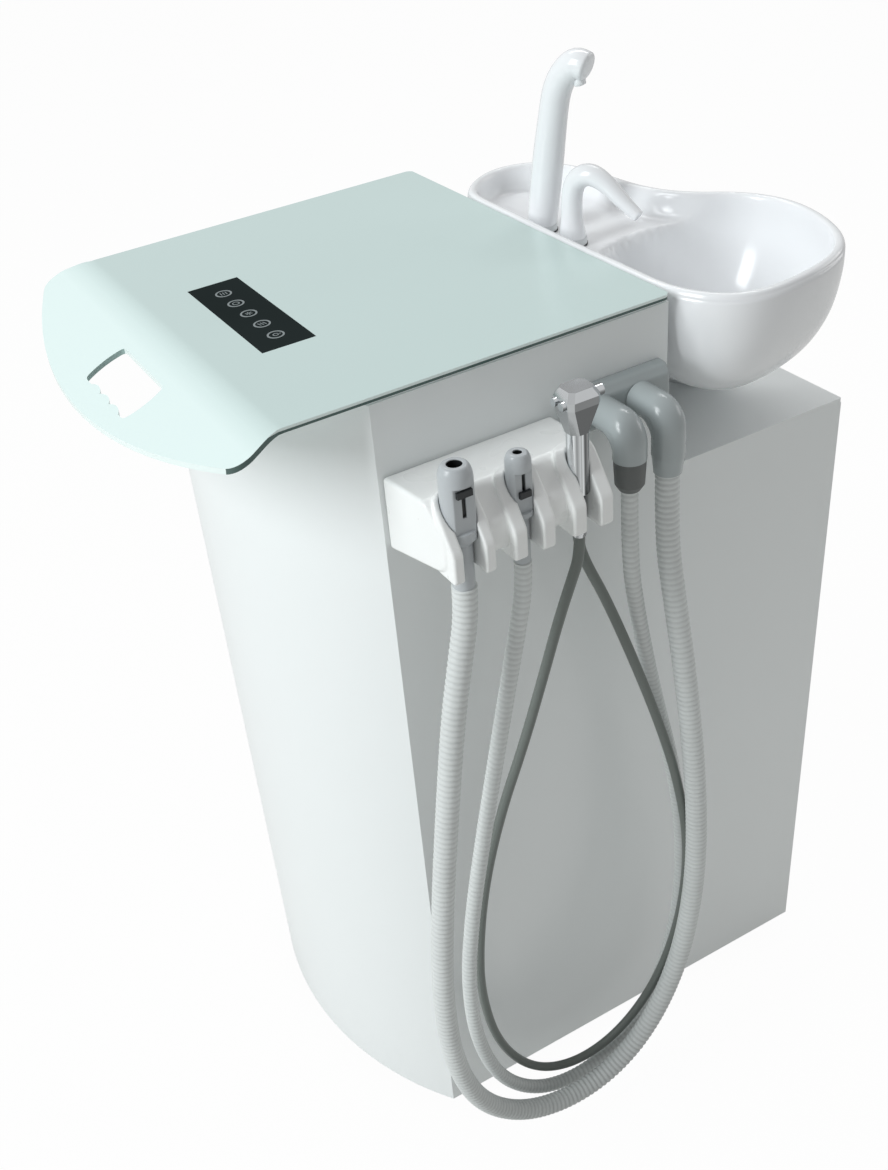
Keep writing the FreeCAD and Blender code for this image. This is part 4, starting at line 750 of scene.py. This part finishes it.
def chrome_finish():
    """Polished chrome, painted reflections: light to the front and above, dark to the sides."""
    color = (1, 1, 1, 1)
    material, start, inputs = finish("syringe_chrome", color, 0.12, Metallic=1.0)
    # painted reflections: the colour follows which way the surface faces, like a studio seen in
    # a mirror
    normal = start.node("NewGeometry", output="Normal")
    toward = start.node("VectorMath", {"operation": "DOT_PRODUCT"}, output="Value", i_0=normal,
                        i_1=(0.28, -0.90, 0.34))
    grey = [(0.0, 0.5), (0.25, 0.75), (0.45, 0.3), (0.60, 0.14), (0.66, 0.42), (0.69, 0.9),
            (0.72, 0.95), (0.75, 0.55), (0.80, 0.8), (0.86, 0.5), (0.895, 0.38), (0.93, 0.75),
            (0.955, 1.0)]
    painted_reflections = start.node("ValToRGB", {"stops": [(place, (value * 0.95, value * 0.98, value, 1))
                                              for place, value in grey]},
                       Fac=toward * 0.5 + 0.5)
    cloudy = varied(start, color, mottle(start, 60, 0.0, 1.0), 0.06)
    link(start.node("Mix", {"data_type": "RGBA", "blend_type": "MULTIPLY"}, output=2, i_0=1.0,
                    i_6=painted_reflections, i_7=cloudy), inputs, "Base Color")
    link(mottle(start, 120, 0.08, 0.16), inputs, "Roughness")
    return material


chrome = chrome_finish()
wear(chrome, *[nodes[name] for name in (
    "syringe_grip", "syringe_head", "nozzle_nut", "air_button", "water_button")])


# ---- Hose ports: a grey moulded block on the side panel with two elbows plugged into it. The
# hoses end in tapered rubber cuffs pushed on the elbows.

port_grey = moulded_finish("port_grey", tint(176, 184, 185), 0.22, spread=0.10)
cuff_grey = moulded_finish("cuff_grey", tint(98, 101, 100), 0.5)


def port_outer(x, y, z):
    section = prism(x, z, [(191, 735), (203, 735), (206, 738), (206, 761), (200, 768),
                           (191, 769)], 1.5)
    return meet(section, prism(x, y, [(190, -20), (206, -20), (206, 69), (190, 69)], 3.5), 1.5)


def port_cuts(x, y, z):
    near = np.minimum(np.hypot(y - 5, z - 751), np.hypot(y - 40, z - 751)) - 9.05
    return np.maximum(near, 198 - x)


port = moulded("port_moulding", (191, -20, 735), (206, 69, 769), 0.9, port_outer, port_cuts,
               0.5, "cabinet", "hose_port_block")
wear(port_grey, port, nodes["se_elbow"], nodes["hve_elbow"], nodes["hve_cuff"])
wear(cuff_grey, nodes["se_cuff"])


# ---- Spittoon bowl: one slip-cast piece of glazed white ceramic. Its full rounded hull narrows
# to a neck that leans back to a small foot on the low deck; inside the rounded lip a shallow
# ledge for the spouts runs over into a deep basin round the drain.

RIM = [
    (18, -92.5), (51, -90), (71, -83), (89, -71), (100, -54), (104, -30), (102, -6), (95, 25),
    (81, 54), (60, 74), (32, 88), (2, 96), (-27, 96.5), (-52, 89), (-72, 76), (-94, 55),
    (-124, 38), (-162, 31), (-202, 28), (-236, 19), (-265, -4), (-272, -32), (-260, -64),
    (-236, -86), (-192, -92), (-112, -93), (-42, -93),
]
BASIN = [
    (18, -84), (48, -81.5), (67, -75), (82, -64), (92, -50), (96, -29), (94, -7), (87.5, 22),
    (74.5, 49), (55.5, 67.5), (29.5, 80), (1, 88), (-25, 88), (-48, 81.5), (-68, 68), (-85, 45),
    (-94, 18), (-96, -12), (-88, -42), (-70, -67), (-42, -80), (-12, -84),
]
# share of the way from rim to deck, share of the rim, and how far the ledge's end draws in
HULL = [
    (0.03, 1.001, 1.0), (0.093, 1.004, 1.0), (0.2, 0.99, 0.97), (0.32, 0.955, 0.93),
    (0.427, 0.895, 0.88), (0.533, 0.80, 0.83), (0.613, 0.69, 0.80), (0.667, 0.59, 0.79),
    (0.707, 0.48, 0.79), (0.733, 0.38, 0.80),
]
# share of the way down, share of the way from the middle of the basin to the foot, and radius
NECK = [(0.765, 0.34, 37.5), (0.80, 0.46, 35.6), (0.853, 0.63, 33), (0.947, 0.93, 28.6),
        (0.999, 1.0, 28)]
# distance in from the rim and height of the lip and the ledge
LEDGE = [
    (0, 813.5), (0.3, 815.1), (1.2, 816.7), (2.6, 817.7), (4.5, 818), (6.3, 817.6), (7.9, 816.1),
    (9.2, 812.8), (10.2, 808.6), (11.5, 804), (13.4, 799.9), (16, 797.2), (19.5, 796),
    (26, 796), (40, 796), (90, 796),
]
FLOOR, TOP, DECK = 718, 818, 668
BOWL_X, BOWL_Y = 132, 172
FOOT_X, FOOT_Y = -62, 30
AROUND = 240


def smooth_through(points, count, closed=False):
    """Points on a smooth cubic curve that passes through the given ones."""
    knots = np.array(points, float)
    if closed:
        knots = np.vstack([knots, knots[:1]])
    steps = np.linalg.norm(np.diff(knots, axis=0), axis=1)
    along = np.concatenate([[0], np.cumsum(steps)])
    slopes = np.diff(knots, axis=0) / steps[:, None]
    system, turns = np.eye(len(knots)), np.zeros_like(knots)
    for row in range(1, len(knots) - 1):
        before, after = steps[row - 1], steps[row]
        system[row, row - 1:row + 2] = before, 2 * (before + after), after
        turns[row] = 6 * (slopes[row] - slopes[row - 1])
    if closed:
        system[0, [0, 1, -2]] = 2 * (steps[-1] + steps[0]), steps[0], steps[-1]
        turns[0] = 6 * (slopes[0] - slopes[-1])
        system[-1, 0], system[-1, -1] = 1, -1
    bends = np.linalg.solve(system, turns)
    places = np.linspace(0, along[-1], count, endpoint=not closed)
    left = np.clip(np.searchsorted(along, places, side="right") - 1, 0, len(steps) - 1)
    span = steps[left][:, None]
    after = (places - along[left])[:, None]
    before = span - after
    return ((bends[left] * before ** 3 + bends[left + 1] * after ** 3) / (6 * span)
            + (knots[left] / span - bends[left] * span / 6) * before
            + (knots[left + 1] / span - bends[left + 1] * span / 6) * after)


def inside_height(places, rim):
    """Height of the bowl's inside at plan places: lip, ledge and basin run softly together."""
    nearest = np.full(len(places), 1e9)
    for start, along in zip(rim, np.roll(rim, -1, axis=0) - rim):
        share = np.clip((places - start) @ along / (along @ along), 0, 1)[:, None]
        nearest = np.minimum(nearest, np.linalg.norm(places - start - share * along, axis=1))
    profile = smooth_through(LEDGE, 160)
    ledge = np.interp(nearest, profile[:, 0], profile[:, 1])
    edge = smooth_through(BASIN, 360, closed=True)
    reach = np.interp(np.arctan2(places[:, 1], places[:, 0]),
                      np.arctan2(edge[:, 1], edge[:, 0]), np.hypot(edge[:, 0], edge[:, 1]),
                      period=2 * math.pi)
    share = np.hypot(places[:, 0], places[:, 1]) / reach
    level_share, outside_slope, softness = 0.3, 4000, 3.5
    climb = np.clip((share - level_share) / (1 - level_share), 0, 1)
    climb = 1 - np.sqrt(1 - climb ** 1.8)
    basin = FLOOR + climb * (TOP - FLOOR) + np.clip(share - 1, 0, None) * outside_slope
    return -softness * np.logaddexp(-basin / softness, -ledge / softness)


def bowl_rows():
    """Rings of the bowl from the foot over the hull and the lip down to the basin's floor."""
    rim = smooth_through(RIM, AROUND, closed=True)
    rows = []
    for level, share, lobe in smooth_through(HULL, 46):
        draw = np.clip(-rim[:, 0] / 40, 0, 1)
        draw = 1 + (lobe - 1) * draw * draw * (3 - 2 * draw)
        height = np.full(AROUND, TOP - level * (TOP - DECK))
        rows.insert(0, np.column_stack([rim[:, 0] * share * draw, rim[:, 1] * share, height]))
    turn = np.arctan2(rows[0][:, 1] - 10, rows[0][:, 0] + 20)
    for level, way, radius in smooth_through(NECK, 16):
        rows.insert(0, np.column_stack([
            radius * np.cos(turn) + FOOT_X * way, radius * np.sin(turn) + FOOT_Y * way,
            np.full(AROUND, TOP - level * (TOP - DECK))]))
    depth = np.round(np.clip(-rim[:, 0], 0, 272) * 0.2) * 4
    spine = np.column_stack([-depth, -depth * 0.147])
    inward = np.concatenate([np.linspace(0, 20, 44), np.linspace(20, 90, 50)[1:]]) / 90
    for share in inward:
        places = rim + (spine - rim) * share
        rows.append(np.column_stack([places, inside_height(places, rim)]))
    return [[at(BOWL_X + x, BOWL_Y + y, z) for x, y, z in row] for row in rows]


def glaze_finish():
    """Fired glaze: a clear wet coat over dense white, with a barely uneven surface."""
    color = tint(244, 246, 248)
    material, start, inputs = finish("white_glaze", color, 0.16, Coat_Weight=0.2,
                                     Coat_Roughness=0.12, IOR=1.45)
    link(varied(start, color, mottle(start, 10, 0.0, 1.0), 0.03), inputs, "Base Color")
    link(mottle(start, 25, 0.15, 0.21), inputs, "Roughness")
    ripple = start.node("TexNoise", Vector=start, Scale=40, Detail=1.0)
    link(bumped(start, ripple, 0.03, 0.001), inputs, "Normal")
    return material


glaze = glaze_finish()
bowl = skin("glazed_bowl", bowl_rows(), closed_ends=False)
cleaned = bmesh.new()
cleaned.from_mesh(bowl.data)
bmesh.ops.remove_doubles(cleaned, verts=cleaned.verts, dist=2e-5)
drain, drain_radius = at(BOWL_X, BOWL_Y, FLOOR - 8), 21.5 * MM
over_drain = [face for face in cleaned.faces if face.calc_center_median().z > drain[2]
              and math.dist(face.calc_center_median()[:2], drain[:2]) < drain_radius]
bmesh.ops.delete(cleaned, geom=over_drain, context="FACES")
cleaned.to_mesh(bowl.data)
cleaned.free()
wear(glaze, bowl)
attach(bowl, "cabinet")
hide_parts("spittoon_bowl")


# ---- Spouts: a tall one that fills the cup and a short one that rinses the basin, both white
# glazed and hollow. Each stands on a grey collar and a thin dark seal, and turns on them.

# reach, rise and radius along each spout
TALL = [
    (0, 0, 12.8), (4, 28, 13.2), (8, 56, 13.2), (11, 76, 12.7), (14.5, 97, 12.1),
    (20, 118, 12.0), (28, 130, 12.0), (37, 135.5, 12.0), (45, 134, 11.5),
]
SHORT = [
    (0, 0, 12), (0, 6, 10.9), (0, 14, 9.6), (0.1, 26, 8.8), (1, 38, 8.8), (5.5, 49, 9.0),
    (15, 54.5, 9.0), (27, 52, 8.0), (43, 40, 6.6), (61, 26, 4.9),
]


def spout_rows(x, stations, around=40):
    """Rings square to the spout's course, with a rounded end."""
    course = smooth_through(stations, 70)
    slopes = np.gradient(course[:, :2], axis=0)
    slopes /= np.linalg.norm(slopes, axis=1)[:, None]
    slopes[0] = 0, 1
    turn, foot_y, foot_z = math.radians(25), 112.5, 802.5
    forward = np.array([math.cos(turn), math.sin(turn), 0])
    across = np.array([-math.sin(turn), math.cos(turn), 0])
    angles = np.linspace(0, 2 * math.pi, around, endpoint=False)
    rows = []

    def ring(reach, rise, radius, slope):
        lean = forward * slope[1] - np.array([0, 0, slope[0]])
        middle = np.array([x, foot_y, foot_z + rise]) + forward * reach
        circle = np.outer(np.cos(angles), lean) + np.outer(np.sin(angles), across)
        rows.append([at(*place) for place in middle + radius * circle])

    for (reach, rise, radius), slope in zip(course, slopes):
        ring(reach, rise, radius, slope)
    reach, rise, radius = course[-1]
    for bend in (15, 30, 45, 60, 75, 88):
        out = radius * 0.28 * math.sin(math.radians(bend))
        ring(reach + slopes[-1][0] * out, rise + slopes[-1][1] * out,
             radius * math.cos(math.radians(bend)) ** 0.6, slopes[-1])
    return rows


for name, x, stations, node_name, body in (
        ("tall_spout", -25.5, TALL, "cup_filler_spout", "cup_filler"),
        ("short_spout", 19.5, SHORT, "bowl_rinse_spout", "bowl_rinser")):
    spout = skin(name, spout_rows(x, stations))
    wear(glaze, spout)
    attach(spout, body)
    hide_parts(node_name)
nozzle_line = np.array([at(9.5, 128.8, 932), at(10.0, 129.1, 926), at(10.4, 129.3, 922.4),
                        at(10.5, 129.4, 921.8)])
nozzle = skin("spout_nozzle", tube_rings(nozzle_line, [5 * MM, 5 * MM, 4.9 * MM, 4 * MM], 24))
wear(glaze, nozzle)
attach(nozzle, "cup_filler")
seal_rubber = moulded_finish("seal_rubber", tint(60, 64, 64), 0.5)
collar_white = moulded_finish("collar_white", tint(222, 226, 227), 0.3)
wear(seal_rubber, nodes["spout_seals"])
wear(collar_white, nodes["spout_collars"])


# ---- Strainer and drain: a perforated steel disc that lifts out of its seat in the basin, and
# the threaded black tail that clamps the bowl to the deck.

def steel_finish(name, color, roughness):
    material, start, inputs = finish(name, color, roughness, Metallic=1.0)
    brushed = start.node("Mapping", Vector=start, Scale=(1.0, 1.0, 30.0))
    lines = start.node("TexNoise", Vector=brushed, Scale=90, Detail=4.0)
    link(lines * 0.2 + (roughness - 0.1), inputs, "Roughness")
    link(varied(start, color, lines, 0.12), inputs, "Base Color")
    return material


steel = steel_finish("brushed_steel", tint(186, 189, 192), 0.32)
wear(steel, nodes["bowl_strainer"])
wear(black_abs, nodes["drain_tail"])


# ---- Casters: zinc-plated swivel forks on kingpins under the base plate, with grey-black
# rubber wheels, set back so that the panels hide them.

tyre_rubber = moulded_finish("tyre_rubber", tint(48, 50, 52), 0.6, 400, 0.15)
for corner in ("front_right", "front_left", "rear_right", "rear_left"):
    wear(steel, nodes["caster_fork_" + corner])
    wear(tyre_rubber, nodes["caster_wheel_" + corner])
wear(steel, nodes["caster_mounts"])


# ---- Inner machinery: suction blower, compressor, separator, bottle, waste tank and power
# supply, all on the base plate or the shelf inside the closed cabinet. The tanks are milky
# plastic, the rest cast or folded metal.

cast_grey = moulded_finish("cast_grey", tint(138, 143, 148), 0.5, 300, 0.12)
milky_plastic = moulded_finish("milky_plastic", tint(222, 228, 232), 0.3, 200, 0.05)
wear(cast_grey, nodes["vacuum_pump"], nodes["air_compressor"])
wear(milky_plastic, nodes["clean_water_bottle"], nodes["waste_tank"],
     nodes["suction_separator"])
wear(frame_steel, nodes["power_supply"])


# ---- Rear fittings: appliance inlet and rocker switch of black plastic, a grey drain stub, a
# steel water inlet and the pan-head screws of the rear panel.

wear(black_abs, nodes["power_inlet"], nodes["switch_frame"], nodes["power_rocker"])
wear(port_grey, nodes["drain_outlet"])
wear(steel, nodes["water_inlet"], nodes["panel_screws"])
